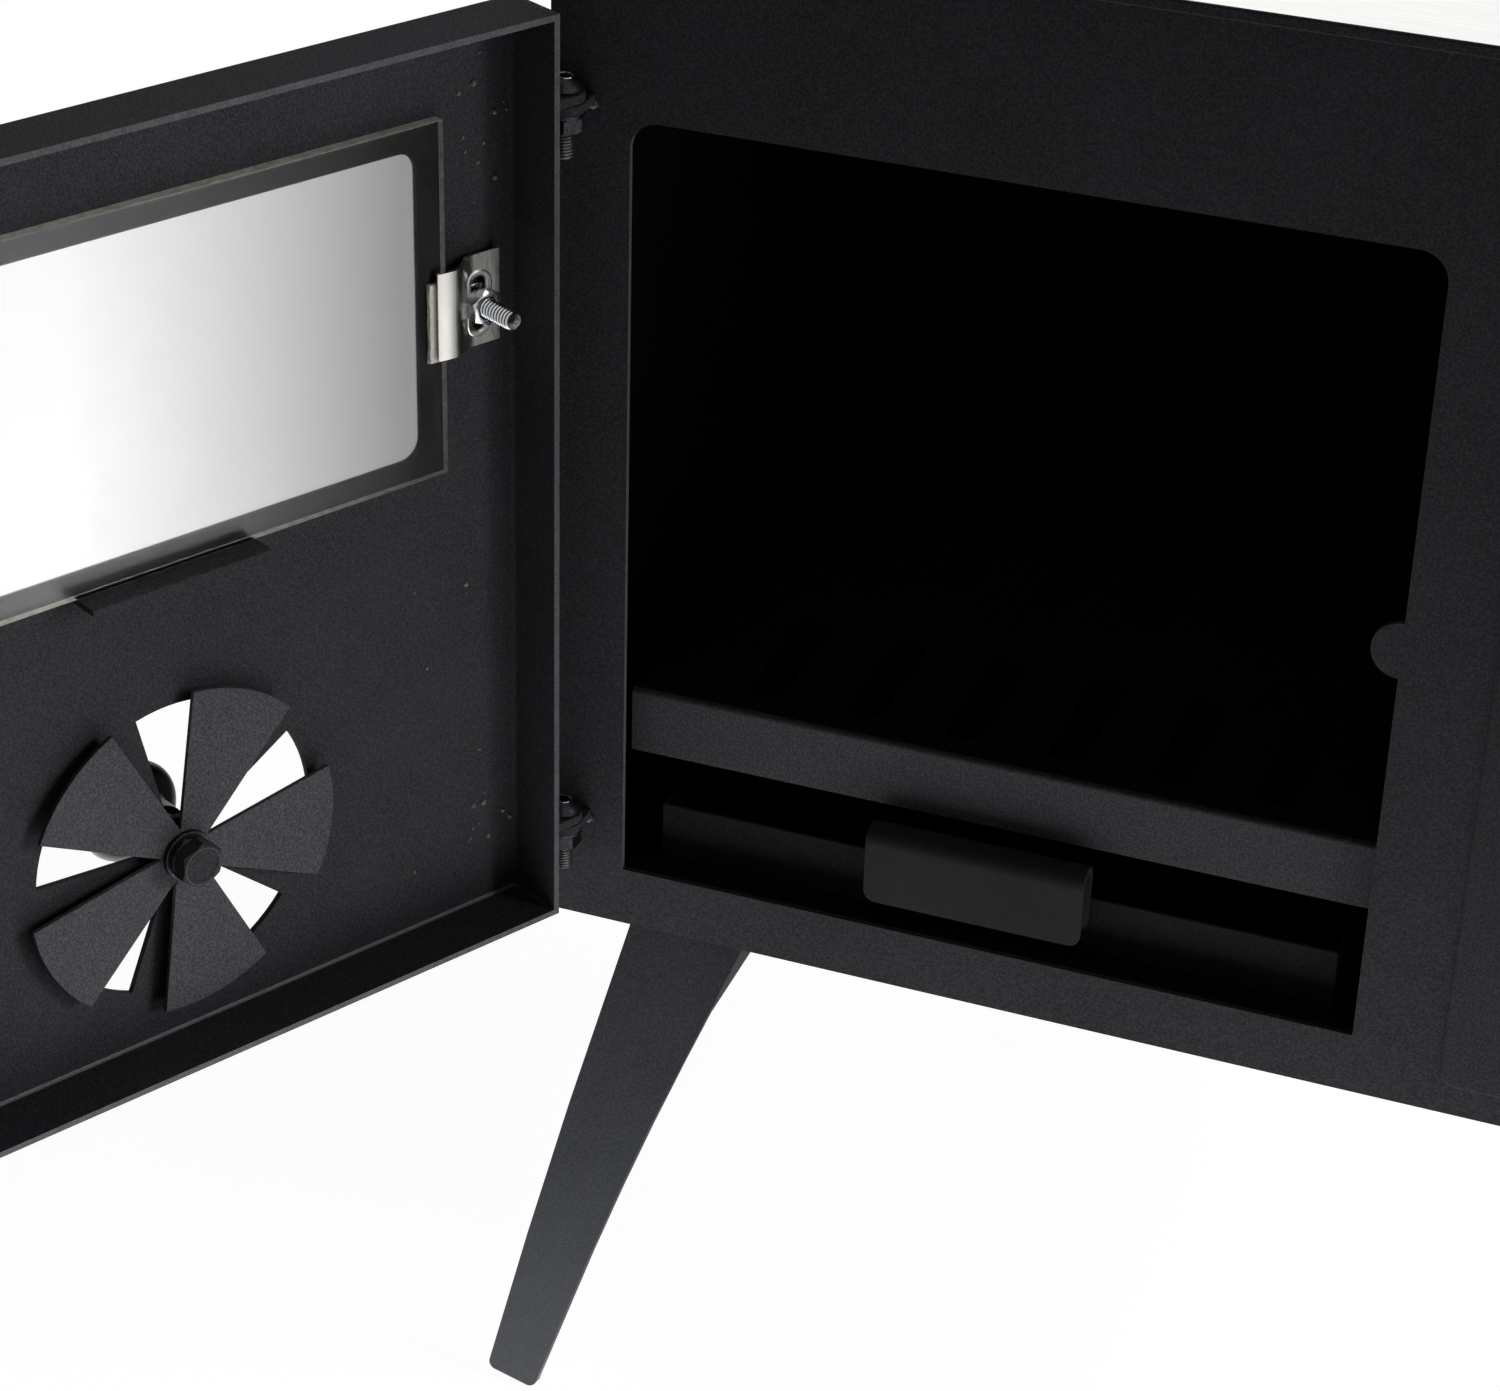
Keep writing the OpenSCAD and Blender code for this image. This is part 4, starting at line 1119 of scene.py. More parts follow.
@dataclass
class Workshop:
    """What every sub-assembly needs: the finishes and the trees."""

    finishes: Finishes
    bolts: bpy.types.NodeTree
    fasteners: bpy.types.NodeTree
    welds: bpy.types.NodeTree
    spatter: bpy.types.NodeTree
    blades: bpy.types.NodeTree

    def plain(self, node: str, name: str, finish: bpy.types.Material, edge: float, body: Body,
              slot: str) -> None:
        """Dresses a CAD node that has one finish and no round folds.

        Args:
            node: the CAD node.
            name: name of the piece.
            finish: its finish.
            edge: rounding of its edges in metres.
            body: body that it rides on.
            slot: the record's material slot.
        """
        hand_over(sheet_piece(node, name, (finish,), edge), body, slot, node)

    def threads(self, node: str, name: str, axes: Axes, places: Sequence[Vector], finish: bpy.types.Material,
                body: Body, slot: str, thread: Thread, **sizes: object) -> None:
        """Puts a CAD node's bolts or studs in place.

        Args:
            node: the CAD node.
            name: name of the piece.
            axes: frame of the places.
            places: the thread's upper end of each.
            finish: their finish.
            body: body that they ride on.
            slot: the record's material slot.
            thread: their thread.
            sizes: the tree's other inputs, by name.
        """
        piece = grown(name, points_mesh(places), self.bolts, axes, finish, Pitch=thread.pitch,
                      Depth=thread.depth, Rows=thread.rows, **sizes)
        hand_over(piece, body, slot, node)

    def nuts(self, node: str, name: str, axes: Axes, bore: float, finish: bpy.types.Material, body: Body,
             slot: str, seed: int, share: float = 1.0) -> None:
        """Puts a CAD node's hexagon nuts in place.

        Args:
            node: the CAD node.
            name: name of the piece.
            axes: frame with Z along the nuts.
            bore: radius of their bore.
            finish: their finish.
            body: body that they ride on.
            slot: the record's material slot.
            seed: which turns they get about their axes.
            share: their width as a share of the CAD nuts'.
        """
        found = boxes(node, axes)
        size = found[0].size
        mesh = hex_nut_mesh(min(size.x, size.y) * share, size.z, bore)
        places = points_mesh([Vector((b.middle.x, b.middle.y, b.low.z)) for b in found])
        piece = grown(name, places, self.fasteners, axes, finish, Fastener=pattern_part(mesh), Seed=seed)
        hand_over(piece, body, slot, node)

    def bead(self, name: str, body: Body, axes: Axes, path: Sequence[tuple[float, float, float]],
             width: float, seed: float, uneven: float = 0.7) -> None:
        """Lays a weld bead.

        Args:
            name: name of the piece.
            body: body that it rides on.
            axes: frame of the path.
            path: points in millimetres.
            width: width of the bead in millimetres.
            seed: which unevenness it gets.
            uneven: unevenness in millimetres.
        """
        points = [Vector(p) * MM for p in path]
        piece = grown(name, points_mesh(points, joined=True), self.welds, axes, self.finishes.weld,
                      Width=width * MM, Ripple=WELD_RIPPLE, Unevenness=uneven * MM, Seed=seed)
        hand_over(piece, body, "matte_black_paint")

    def lips(self, name: str, body: Body, axes: Axes, places: Sequence[Vector], inner: float,
             height: float, width: float, finish: bpy.types.Material) -> None:
        """Adds the bright lips of bolts' heads: worn bare metal in a metal finish, a painted highlight in
        paint.

        Args:
            name: name of the piece.
            body: body that it rides on.
            axes: frame of the places.
            places: where the heads stand.
            inner: the lip's inner radius.
            height: height of the lip over the place.
            width: its width.
            finish: its finish.
        """
        shoulder, crown = height + 0.2 * MM, height + 0.25 * MM
        mesh = turned([ring(inner, height), ring(inner + width, height),
                       ring(inner + 0.9 * width, shoulder), ring(inner + 0.1 * width, crown)], closed=True)
        piece = grown(name, points_mesh(places), self.fasteners, axes, finish,
                      Fastener=pattern_part(mesh), Seed=31)
        hand_over(piece, body, "black_oxide_steel")


@dataclass
class SheetBody:
    """The folded and welded case: front, walls, ash floor and baffle."""

    shop: Workshop
    press_round: float = 1.3 * MM
    wall_edge: float = 0.4 * MM
    # The opening's cut edges are looked for within this of its hinge side
    opening_edge: float = 5 * MM

    def build(self) -> None:
        """Builds and dresses the case."""
        finishes = self.shop.finishes
        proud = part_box("front_plate")[0].y

        def on_press(a: Vector, b: Vector) -> bool:
            """Picks the edges of what stands proud of the front."""
            return abs(a.y - proud) < LEVEL and abs(b.y - proud) < LEVEL

        def finish(centre: Vector, normal: Vector) -> int:
            """Soot behind, and lighter paint down the opening's hinge side: paint worn thin, and a painted
            highlight.
            """
            in_opening = CORNER.x - 0.1 * MM < centre.x < CORNER.x + self.opening_edge and normal.x > FACING
            return 2 if in_opening else int(normal.y > FACING)

        # The opening's hinge side gets thin paint with a painted highlight, and the press's rounded edges a
        # painted highlight
        looks = (finishes.paint, finishes.soot, finishes.cut_edge, finishes.painted_highlight)
        front = sheet_piece("front_plate", "front_plate_pressed", looks, self.wall_edge,
                            (on_press, self.press_round, 3), finish)
        hand_over(front, Body.STOVE, "matte_black_paint", "front_plate")
        inner = {"left_side": RIGHT, "right_side": -RIGHT, "back_plate": -BACK, "ash_floor": UP}
        for node, way in inner.items():
            wall = sheet_piece(node, f"{node}_sheet", (finishes.paint, finishes.soot), self.wall_edge,
                               other=lambda c, n, way=way: n.dot(way) > FACING)
            hand_over(wall, Body.STOVE, "matte_black_paint", node)
        self.shop.plain("smoke_baffle", "smoke_baffle_sheet", finishes.soot, self.wall_edge, Body.STOVE,
                        "sooted_steel")


@dataclass
class Hob:
    """The top frame, the hob plate and the flue collar with its screws."""

    shop: Workshop
    thread: Thread = Thread(0.8 * MM, 0.45 * MM, 90)
    # Height and key of the screws' heads, as shares of their width
    head_share: float = 0.275
    key_share: float = 0.3
    # A little narrower than the CAD nuts, so that no corner leaves their boxes as they turn
    nut_share: float = 0.997

    def build(self) -> None:
        """Builds and dresses the top."""
        finishes = self.shop.finishes
        for node, name, finish, edge, slot in (
                ("top_frame", "top_frame_folded", finishes.paint, 0.5 * MM, "matte_black_paint"),
                ("hob_plate", "hob_plate_brushed", finishes.hob_steel, 0.3 * MM, "satin_stainless"),
                ("flue_collar", "flue_collar_spun", finishes.paint, 0.4 * MM, "matte_black_paint")):
            self.shop.plain(node, name, finish, edge, Body.STOVE, slot)
        self.fix_collar()

    def fix_collar(self) -> None:
        """Adds the collar's screws and nuts."""
        screws = boxes("collar_screws", STOVE_AXES)
        width, tall = screws[0].size.x, screws[0].size.z
        head_h = self.head_share * width
        radius = width / 4
        black = self.shop.finishes.black_steel
        self.shop.threads("collar_screws", "collar_screw_set", STOVE_AXES,
                          [Vector((b.middle.x, b.middle.y, b.high.z - head_h)) for b in screws], black,
                          Body.STOVE, "black_oxide_steel", self.thread, Radius=radius, Length=tall - head_h,
                          Seed=3, Head=pattern_part(button_head_mesh(width, head_h, self.key_share * width)))
        self.shop.nuts("collar_nuts", "collar_nut_set", STOVE_AXES, radius + PLAY, black, Body.STOVE,
                       "black_oxide_steel", 5, self.nut_share)


@dataclass
class Hearth:
    """The grate on its rails, and the ash drawer under it."""

    shop: Workshop
    fold_r: float = 1.6 * MM
    # How far behind the lip's front the soot starts
    soot_from: float = 2.5 * MM
    drawer_wall: float = 1.3 * MM

    def build(self) -> None:
        """Builds and dresses the grate, the rails and the drawer."""
        finishes = self.shop.finishes
        low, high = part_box("grate")

        def fold(a: Vector, b: Vector) -> bool:
            """Picks the lip's fold."""
            return all(abs(p.y - low.y) < LEVEL and abs(p.z - high.z) < LEVEL for p in (a, b))

        grate = sheet_piece("grate", "grate_folded", (finishes.grate, finishes.soot), 0.35 * MM,
                            (fold, self.fold_r, 0), lambda c, n: c.y > low.y + self.soot_from)
        hand_over(grate, Body.STOVE, "sooted_steel", "grate")
        for node in ("grate_rail_left", "grate_rail_right"):
            self.shop.plain(node, f"{node}_angle", finishes.soot, 0.4 * MM, Body.STOVE, "sooted_steel")
        looks = (finishes.drawer, finishes.soot, finishes.paint)
        drawer = sheet_piece("ash_drawer", "ash_drawer_folded", looks, 0.4 * MM, other=self.inside_drawer())
        hand_over(drawer, Body.STOVE, "matte_black_paint", "ash_drawer")
        self.shop.plain("drawer_pull", "drawer_pull_rolled", finishes.pull, 0.3 * MM, Body.STOVE,
                        "matte_black_paint")

    def inside_drawer(self) -> FaceTest:
        """Picks the drawer's inner faces, which ash dulls, and its rim, which hands rub.

        Returns:
            What gives a face's finish by its middle and normal.
        """
        low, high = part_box("ash_drawer")
        half = self.drawer_wall / 2

        def inside(centre: Vector, normal: Vector) -> int:
            """Tells the rim, the inside and the outside apart.

            Args:
                centre: middle of the face.
                normal: its normal.

            Returns:
                Number of the face's finish: 2 on the rim, 1 inside, 0 outside.
            """
            if abs(centre.z - high.z) < LEVEL:
                return 2
            within = [low[i] + half < centre[i] < high[i] - half for i in (0, 1)]
            return int(all(within) and centre.z > low.z + half)

        return inside


@dataclass
class Legs:
    """Four pressed legs, their studs and nuts."""

    shop: Workshop
    fold_r: float = 0.6 * MM
    thread: Thread = Thread(1.0 * MM, 0.55 * MM, 96)
    # Shorter edges, at the foot's corners, would shrink the folds
    long_edge: float = 2.5 * MM
    # How far an edge may lie off the leg's outer face
    off_face: float = 0.3 * MM

    def build(self) -> None:
        """Builds and dresses the legs."""
        for node in ("leg_front_left", "leg_front_right", "leg_rear_left", "leg_rear_right"):
            self.leg(node)
        zinc = self.shop.finishes.zinc
        studs = boxes("leg_studs", STOVE_AXES)
        radius, tall = studs[0].size.x / 2, studs[0].size.z
        self.shop.threads("leg_studs", "leg_stud_set", STOVE_AXES,
                          [Vector((b.middle.x, b.middle.y, b.high.z)) for b in studs], zinc, Body.STOVE,
                          "zinc_plated_steel", self.thread, Radius=radius, Length=tall, Seed=7)
        self.shop.nuts("leg_nuts", "leg_nut_set", STOVE_AXES, radius + PLAY, zinc, Body.STOVE,
                       "zinc_plated_steel", 11)

    def leg(self, node: str) -> None:
        """Builds one leg with its long edges pressed round.

        Args:
            node: the CAD node.
        """
        way = -1 if "front" in node else 1
        solid = merged_copy(node)
        widest = max((f for f in solid.faces if way * f.normal.y > LEANING), key=lambda f: f.calc_area())
        face = widest.normal.copy()
        reach = face.dot(widest.verts[0].co)
        solid.free()

        def on_face(a: Vector, b: Vector) -> bool:
            """Picks the long edges of the leg's outer face."""
            long = (a - b).length > self.long_edge
            return long and all(abs(face.dot(p) - reach) < self.off_face for p in (a, b))

        # The outer face's rounded long edges get a painted highlight
        looks = (self.shop.finishes.leg, self.shop.finishes.painted_highlight)
        piece = sheet_piece(node, f"{node}_pressed", looks, 0.35 * MM, (on_face, self.fold_r, 1))
        hand_over(piece, Body.STOVE, "matte_black_paint", node)


@dataclass
class Hinges:
    """Two hinges: lugs, bolts, washers, nuts and the welds that hold the lugs."""

    shop: Workshop
    radius: float = 3 * MM
    head_h: float = 4.5 * MM
    key: float = 4 * MM
    thread: Thread = Thread(1.0 * MM, 0.55 * MM, 170)
    # The bright lip round the key's socket: how far under the head's top it starts, and its width
    lip_down: float = 0.62 * MM
    lip_width: float = 0.45 * MM
    # Beads that hold the lugs, in millimetres. One runs under a body lug and round its corner, the other
    # crosses the door under a door lug. A point is given along from the lug's high end, back from the front
    # or the hinge's axis, and up from the lug's foot
    body_bead: float = 1.9
    round_corner: tuple[tuple[float, float, float], ...] = ((-3.6, -0.6, -0.3), (-0.6, -0.6, -0.5),
                                                            (0.6, -0.5, 0.3))
    door_bead: float = 1.8
    across_door: tuple[tuple[float, float, float], ...] = ((-0.3, -5, -0.2), (-0.3, 5.6, -0.2))

    def build(self) -> None:
        """Builds and dresses both hinges."""
        finishes = self.shop.finishes
        for node, body in (("body_lug_upper", Body.STOVE), ("body_lug_lower", Body.STOVE),
                           ("door_lug_upper", Body.DOOR), ("door_lug_lower", Body.DOOR)):
            self.shop.plain(node, f"{node}_forged", finishes.paint, 0.4 * MM, body, "matte_black_paint")
        bolts = boxes("hinge_bolts", STOVE_AXES)
        width = bolts[0].size.x
        head_h = self.head_h
        places = [Vector((b.middle.x, b.middle.y, b.high.z - head_h)) for b in bolts]
        self.shop.threads("hinge_bolts", "hinge_bolt_set", STOVE_AXES, places, finishes.black_steel,
                          Body.STOVE, "black_oxide_steel", self.thread, Radius=self.radius,
                          Length=bolts[0].size.z - head_h, Seed=13,
                          Head=pattern_part(button_head_mesh(width, head_h, self.key)))
        lip = hexagon(self.key, 0.0) + 0.1 * MM
        self.shop.lips("hinge_bolt_lips", Body.STOVE, STOVE_AXES, places, lip, head_h - self.lip_down,
                       self.lip_width, finishes.zinc)
        self.shop.plain("hinge_washers", "hinge_washer_set", finishes.black_steel, 0.2 * MM, Body.STOVE,
                        "black_oxide_steel")
        self.shop.nuts("hinge_nuts", "hinge_nut_set", STOVE_AXES, self.radius + PLAY, finishes.black_steel,
                       Body.STOVE, "black_oxide_steel", 2)
        self.weld_lugs()

    def weld_lugs(self) -> None:
        """Lays the beads between the lugs and what carries them."""
        for place in ("upper", "lower"):
            body_lug = boxes(f"body_lug_{place}", STOVE_AXES)[0]
            low, high = body_lug.low / MM, body_lug.high / MM
            path = [(high.x + along, out, low.z + up) for along, out, up in self.round_corner]
            self.shop.bead(f"body_lug_{place}_weld", Body.STOVE, STOVE_AXES, path, self.body_bead,
                           4.0 + high.z, uneven=1.0)
            door_lug = boxes(f"door_lug_{place}", DOOR_AXES)[0]
            low, high = door_lug.low / MM, door_lug.high / MM
            path = [(high.x + along, out, low.z + up) for along, out, up in self.across_door]
            self.shop.bead(f"door_lug_{place}_weld", Body.DOOR, DOOR_AXES, path, self.door_bead,
                           9.0 + high.z)


@dataclass
class DoorTray:
    """The door's folded tray with its welded corners, and the ledge under the glass."""

    shop: Workshop
    fold_r: float = 1.5 * MM
    sheet: float = 2 * MM
    # All further sizes are in millimetres.
    # Length and width of a tack under the ledge, where the two start, from the ledge's ends, and their line,
    # from the ledge's lowest edge on the panel
    tack: float = 7
    tack_width: float = 1.7
    tack_starts: tuple[float, float] = (6, -12)
    tack_line: tuple[float, float] = (0.3, -0.2)
    # Width of a corner's bead, how far inside the corner it lies at its foot and at the rim, and its two ends
    corner_width: float = 2.3
    corner_in: tuple[float, float] = (1.3, 1.2)
    corner_ends: tuple[float, float] = (4, -1.4)
    # How deep the drops of spatter sit in the panel
    drop_sunk: float = 0.1
    # Spatter beside the hinges: height of its middle and number of drops, then its strip's start and width
    by_hinges: tuple[tuple[float, int], ...] = ((258, 12), (24, 10))
    hinge_strip: tuple[float, float] = (3.5, 20)
    # How far it spreads up and down from its middle
    hinge_spread: float = 16
    # Spatter on the panel's lower half: number of drops, start and width of the field, start and height
    elsewhere: int = 14
    field_along: tuple[float, float] = (12, 220)
    field_up: tuple[float, float] = (6, 120)
    # The vent's middle along and up the door, and half the square round it that keeps clear
    vent_at: tuple[float, float] = (137, 57)
    vent_clear: float = 56

    def build(self) -> None:
        """Builds and dresses the tray and the ledge."""
        finishes = self.shop.finishes
        tray = boxes("door_panel", DOOR_AXES)[0]
        back = DOOR_AXES.matrix.inverted()

        def fold(a: Vector, b: Vector) -> bool:
            """Picks the tray's folds, outside and inside.

            Args:
                a: one end of the edge.
                b: its other end.

            Returns:
                Whether the edge is a fold.
            """
            ends = [back @ p for p in (a, b)]
            for inset in (0.0, self.sheet):
                level = all(abs(p.y - tray.low.y - inset) < LEVEL for p in ends)
                rim = all(abs(min(p.x - tray.low.x, tray.high.x - p.x, p.z - tray.low.z, tray.high.z - p.z)
                              - inset) < LEVEL for p in ends)
                if level and rim:
                    return True
            return False

        def worn(centre: Vector, normal: Vector) -> int:
            """Tells the cut edge, with thin paint and a painted highlight, and the bottom fold, with a
            painted highlight, from the rest.

            Args:
                centre: middle of the face.
                normal: its normal.

            Returns:
                Number of the face's finish: 1 on the cut edge, 2 in the bottom fold, 0 elsewhere.
            """
            at, way = back @ centre, back.to_3x3() @ normal
            if abs(at.y - tray.high.y) < LEVEL:
                return 1
            inset = Vector((0, tray.low.y + self.sheet, tray.low.z + self.sheet))
            near = max(abs(at.y - inset.y), abs(at.z - inset.z)) < self.fold_r
            return 2 if near and way.y > 0.2 and way.z > 0.2 else 0

        # The cut edge gets thin paint and a painted highlight, the bottom fold a painted highlight
        looks = (finishes.paint, finishes.cut_edge, finishes.painted_highlight)
        door = sheet_piece("door_panel", "door_tray_folded", looks, 0.3 * MM, (fold, self.fold_r, 0), worn)
        hand_over(door, Body.DOOR, "matte_black_paint", "door_panel")
        self.shop.plain("glass_ledge", "glass_ledge_strip", finishes.paint, 0.3 * MM, Body.DOOR,
                        "matte_black_paint")
        self.weld_corners(tray)
        self.weld_ledge()
        self.scatter(tray)

    def weld_corners(self, tray: Box) -> None:
        """Fills the tray's four corners with weld.

        Args:
            tray: the tray's box in the door's frame.
        """
        low, high = tray.low / MM, tray.high / MM
        ends = (low.y + self.corner_ends[0], high.y + self.corner_ends[1])
        seed = 1.0
        for s, ds in ((low.x, 1), (high.x, -1)):
            for z, dz in ((low.z, 1), (high.z, -1)):
                seed += 3.7
                up_corner = [(s + gap * ds, y, z + gap * dz) for gap, y in zip(self.corner_in, ends)]
                self.shop.bead(f"tray_corner_weld_{int(seed)}", Body.DOOR, DOOR_AXES, up_corner,
                               self.corner_width, seed, uneven=0.9)

    def weld_ledge(self) -> None:
        """Tacks the ledge to the panel near both its ends."""
        ledge = boxes("glass_ledge", DOOR_AXES)[0]
        low, high = ledge.low / MM, ledge.high / MM
        y, z = low.y + self.tack_line[0], low.z + self.tack_line[1]
        for i, s in enumerate((low.x + self.tack_starts[0], high.x + self.tack_starts[1])):
            tack = [(s, y, z), (s + self.tack, y, z)]
            self.shop.bead(f"ledge_tack_{i}", Body.DOOR, DOOR_AXES, tack, self.tack_width, 5.0 + i)

    def scatter(self, tray: Box) -> None:
        """Drops spatter on the panel beside the hinges.

        Args:
            tray: the tray's box in the door's frame.
        """
        rng = random.Random(41)
        left = tray.low.x / MM
        sunk = (tray.low.y + self.sheet) / MM - self.drop_sunk
        drops = []
        start, width = self.hinge_strip
        for middle, count in self.by_hinges:
            for _ in range(count):
                along = left + start + rng.random() ** 1.5 * width
                drops.append((along, sunk, middle + rng.gauss(0, self.hinge_spread)))
        start, width = self.field_along
        for _ in range(self.elsewhere):
            along = left + start + rng.random() * width
            drops.append((along, sunk, self.field_up[0] + rng.random() * self.field_up[1]))
        clear = [Vector(d) * MM for d in drops
                 if max(abs(d[0] - self.vent_at[0]), abs(d[2] - self.vent_at[1])) > self.vent_clear]
        piece = grown("door_spatter", points_mesh(clear), self.shop.spatter, DOOR_AXES,
                      self.shop.finishes.weld, Smallest=0.35 * MM, Largest=1.15 * MM, Seed=6)
        hand_over(piece, Body.DOOR, "matte_black_paint")


@dataclass
class Window:
    """The glass, its two spring clips on fibre pads, and their bolts."""

    shop: Workshop
    # An M6 thread climbs 1 mm a turn. It is drawn 1.3 mm, because finer would not show
    thread: Thread = Thread(1.3 * MM, 0.55 * MM, 190)
    # Depth of the tears in a pad's edge, and the cuts that divide each side of its mesh
    tear: float = 0.45 * MM
    pad_cuts: int = 14
    thick: float = 1.2 * MM
    # The slot in a clip's foot and its punched rim: how far out and how high each loop lies, from the hole
    slot_w: float = 6.6 * MM
    slot_l: float = 18 * MM
    rim: tuple[tuple[float, float], ...] = ((0.0, 0.05 * MM), (0.35 * MM, 0.3 * MM), (0.8 * MM, 0.3 * MM),
                                            (1.3 * MM, 0.0))
    round_points: int = 48
    # How far the foot reaches past the slot, how much narrower the leaf is on each side, and its bow
    past_slot: float = 1.5 * MM
    neck: float = 0.8 * MM
    bow: float = 0.7 * MM
    # Rows of faces along the flat foot and along the rest
    flat_rows: int = 8
    bent_rows: int = 32
    # How far the clip has pressed its pad together
    squeeze: float = 0.5 * MM
    # Where the rise of a clip starts and ends, from its bolt's middle
    rise_from: float = 3.0 * MM
    rise_to: float = 11.6 * MM
    # How much the leaf stops short of the CAD leaf, to show the pad as the photo does
    short: float = 1.8 * MM

    def build(self) -> None:
        """Builds and dresses the window."""
        finishes = self.shop.finishes

        def edge(centre: Vector, normal: Vector) -> bool:
            """Picks the pane's ground edges."""
            return abs(normal.dot(INTO_STOVE)) < LEANING

        pane = sheet_piece("window_glass", "window_pane", (finishes.glass, finishes.glass_edge), 0.35 * MM,
                           other=edge)
        hand_over(pane, Body.DOOR, "stove_glass", "window_glass")
        for node in ("glass_clip_left", "glass_clip_right"):
            self.spring(node)
        self.pads()
        self.fix_clips()

    def spring(self, node: str) -> None:
        """Bends one clip: a foot with a punched slot, a rise in two soft bends, and a bowed leaf.

        Args:
            node: the CAD node.
        """
        box = boxes(node, DOOR_AXES)[0]
        bolt = min(boxes("clip_bolts", DOOR_AXES), key=lambda b: abs(b.middle.x - box.middle.x)).middle
        way = 1.0 if bolt.x < box.middle.x else -1.0
        heel = box.low.x if way > 0 else box.high.x
        middle = abs(bolt.x - heel)
        tip = boxes("clip_pads", DOOR_AXES)[0].high.y - self.squeeze - box.low.y
        crown = tip + self.bow
        start, top, end = middle + self.rise_from, middle + self.rise_to, box.size.x - self.short
        count = self.round_points
        solid = bmesh.new()

        def vert(u: float, n: float, z: float) -> bmesh.types.BMVert:
            """Puts a point on the bent strip.

            Args:
                u: distance from the clip's heel.
                n: height over the strip.
                z: height on the door.

            Returns:
                The point.
            """
            climb = min(1.0, max(0.0, (u - start) / (top - start)))
            fall = max(0.0, (u - top) / (end - top))
            bend = crown * (0.5 - 0.5 * math.cos(math.pi * climb)) - (crown - tip) * fall * fall
            return solid.verts.new((heel + way * u, box.low.y + bend + n, z))

        def slot(out: float, n: float) -> list[bmesh.types.BMVert]:
            """One loop of points round the slot.

            Args:
                out: distance from the slot's side.
                n: height over the strip.

            Returns:
                The points.
            """
            points = []
            reach = self.slot_w / 2 + out
            for i in range(count):
                angle = 2 * math.pi * (i + 0.5) / count
                bow = math.copysign(self.slot_l / 2 - self.slot_w / 2, math.sin(angle))
                height = bolt.z + bow + reach * math.sin(angle)
                points.append(vert(middle + reach * math.cos(angle), n, height))
            return points

        loops = [slot(out, n) for out, n in self.rim]
        for inner, outer in zip(loops, loops[1:]):
            for i in range(count):
                j = (i + 1) % count
                solid.faces.new((inner[i], inner[j], outer[j], outer[i]))
        brim = middle + self.slot_w / 2 + self.past_slot
        along = [brim * i / self.flat_rows for i in range(self.flat_rows + 1)]
        foot = [vert(u, 0, box.low.z) for u in along] + [vert(u, 0, box.high.z) for u in reversed(along)]
        border = [solid.edges.new(pair) for pair in zip(foot, foot[1:] + foot[:1])]
        border += [solid.edges.get((loops[-1][i], loops[-1][(i + 1) % count])) for i in range(count)]
        bmesh.ops.triangle_fill(solid, edges=border, use_beauty=True)
        last = (foot[self.flat_rows], foot[self.flat_rows + 1])
        for i in range(1, self.bent_rows + 1):
            u = brim + (end - brim) * i / self.bent_rows
            narrow = self.neck * min(1.0, (u - brim) / MM)
            row = (vert(u, 0, box.low.z + narrow), vert(u, 0, box.high.z - narrow))
            solid.faces.new((last[0], row[0], row[1], last[1]))
            last = row
        bmesh.ops.recalc_face_normals(solid, faces=solid.faces)
        if sum(face.normal.y for face in solid.faces) < 0:
            bmesh.ops.reverse_faces(solid, faces=solid.faces)
        mesh = bpy.data.meshes.new(node)
        solid.to_mesh(mesh)
        solid.free()
        mesh.transform(DOOR_AXES.matrix)
        smooth(mesh)
        piece = new_piece(f"{node}_spring", mesh, self.shop.finishes.clip_steel)
        sheet = piece.modifiers.new("sheet", "SOLIDIFY")
        sheet.thickness = self.thick
        sheet.offset = 1.0
        soften(piece, 0.2 * MM)
        hand_over(piece, Body.DOOR, "bright_stainless", node)

    def pads(self) -> None:
        """Tears two fibre pads to size."""
        for i, box in enumerate(sorted(boxes("clip_pads", DOOR_AXES), key=lambda b: b.low.x)):
            rng = random.Random(17 + i)
            box = Box(box.low, box.high - Vector((0, self.squeeze, 0)))
            solid = bmesh.new()
            bmesh.ops.create_cube(solid, size=1)
            for vert in solid.verts:
                vert.co = Vector([box.middle[k] + vert.co[k] * (box.size[k] - self.tear) for k in range(3)])
            bmesh.ops.subdivide_edges(solid, edges=solid.edges, cuts=self.pad_cuts, use_grid_fill=True)
            for vert in solid.verts:
                side = [abs(vert.co[k] - box.middle[k]) / (box.size[k] / 2) for k in (0, 2)]
                # The torn edges are looser than the faces
                loose = self.tear if max(side) > 0.9 else self.tear / 4
                for k in range(3):
                    reach = loose * (rng.random() - 0.5) * (0.3 if k == 1 else 1.0)
                    vert.co[k] = min(max(vert.co[k] + reach, box.low[k]), box.high[k])
            mesh = bpy.data.meshes.new("pad")
            solid.to_mesh(mesh)
            solid.free()
            mesh.transform(DOOR_AXES.matrix)
            mesh.shade_smooth()
            piece = new_piece(f"clip_pad_{'left' if i == 0 else 'right'}", mesh, self.shop.finishes.fibre)
            hand_over(piece, Body.DOOR, "ceramic_fibre", "clip_pads")

    def fix_clips(self) -> None:
        """Adds the clips' bolts, washers and nuts."""
        zinc = self.shop.finishes.zinc
        bolts = boxes("clip_bolts", DOOR_BOLT_AXES)
        width, tall = bolts[0].size.x, bolts[0].size.z
        radius = head_h = width / 4
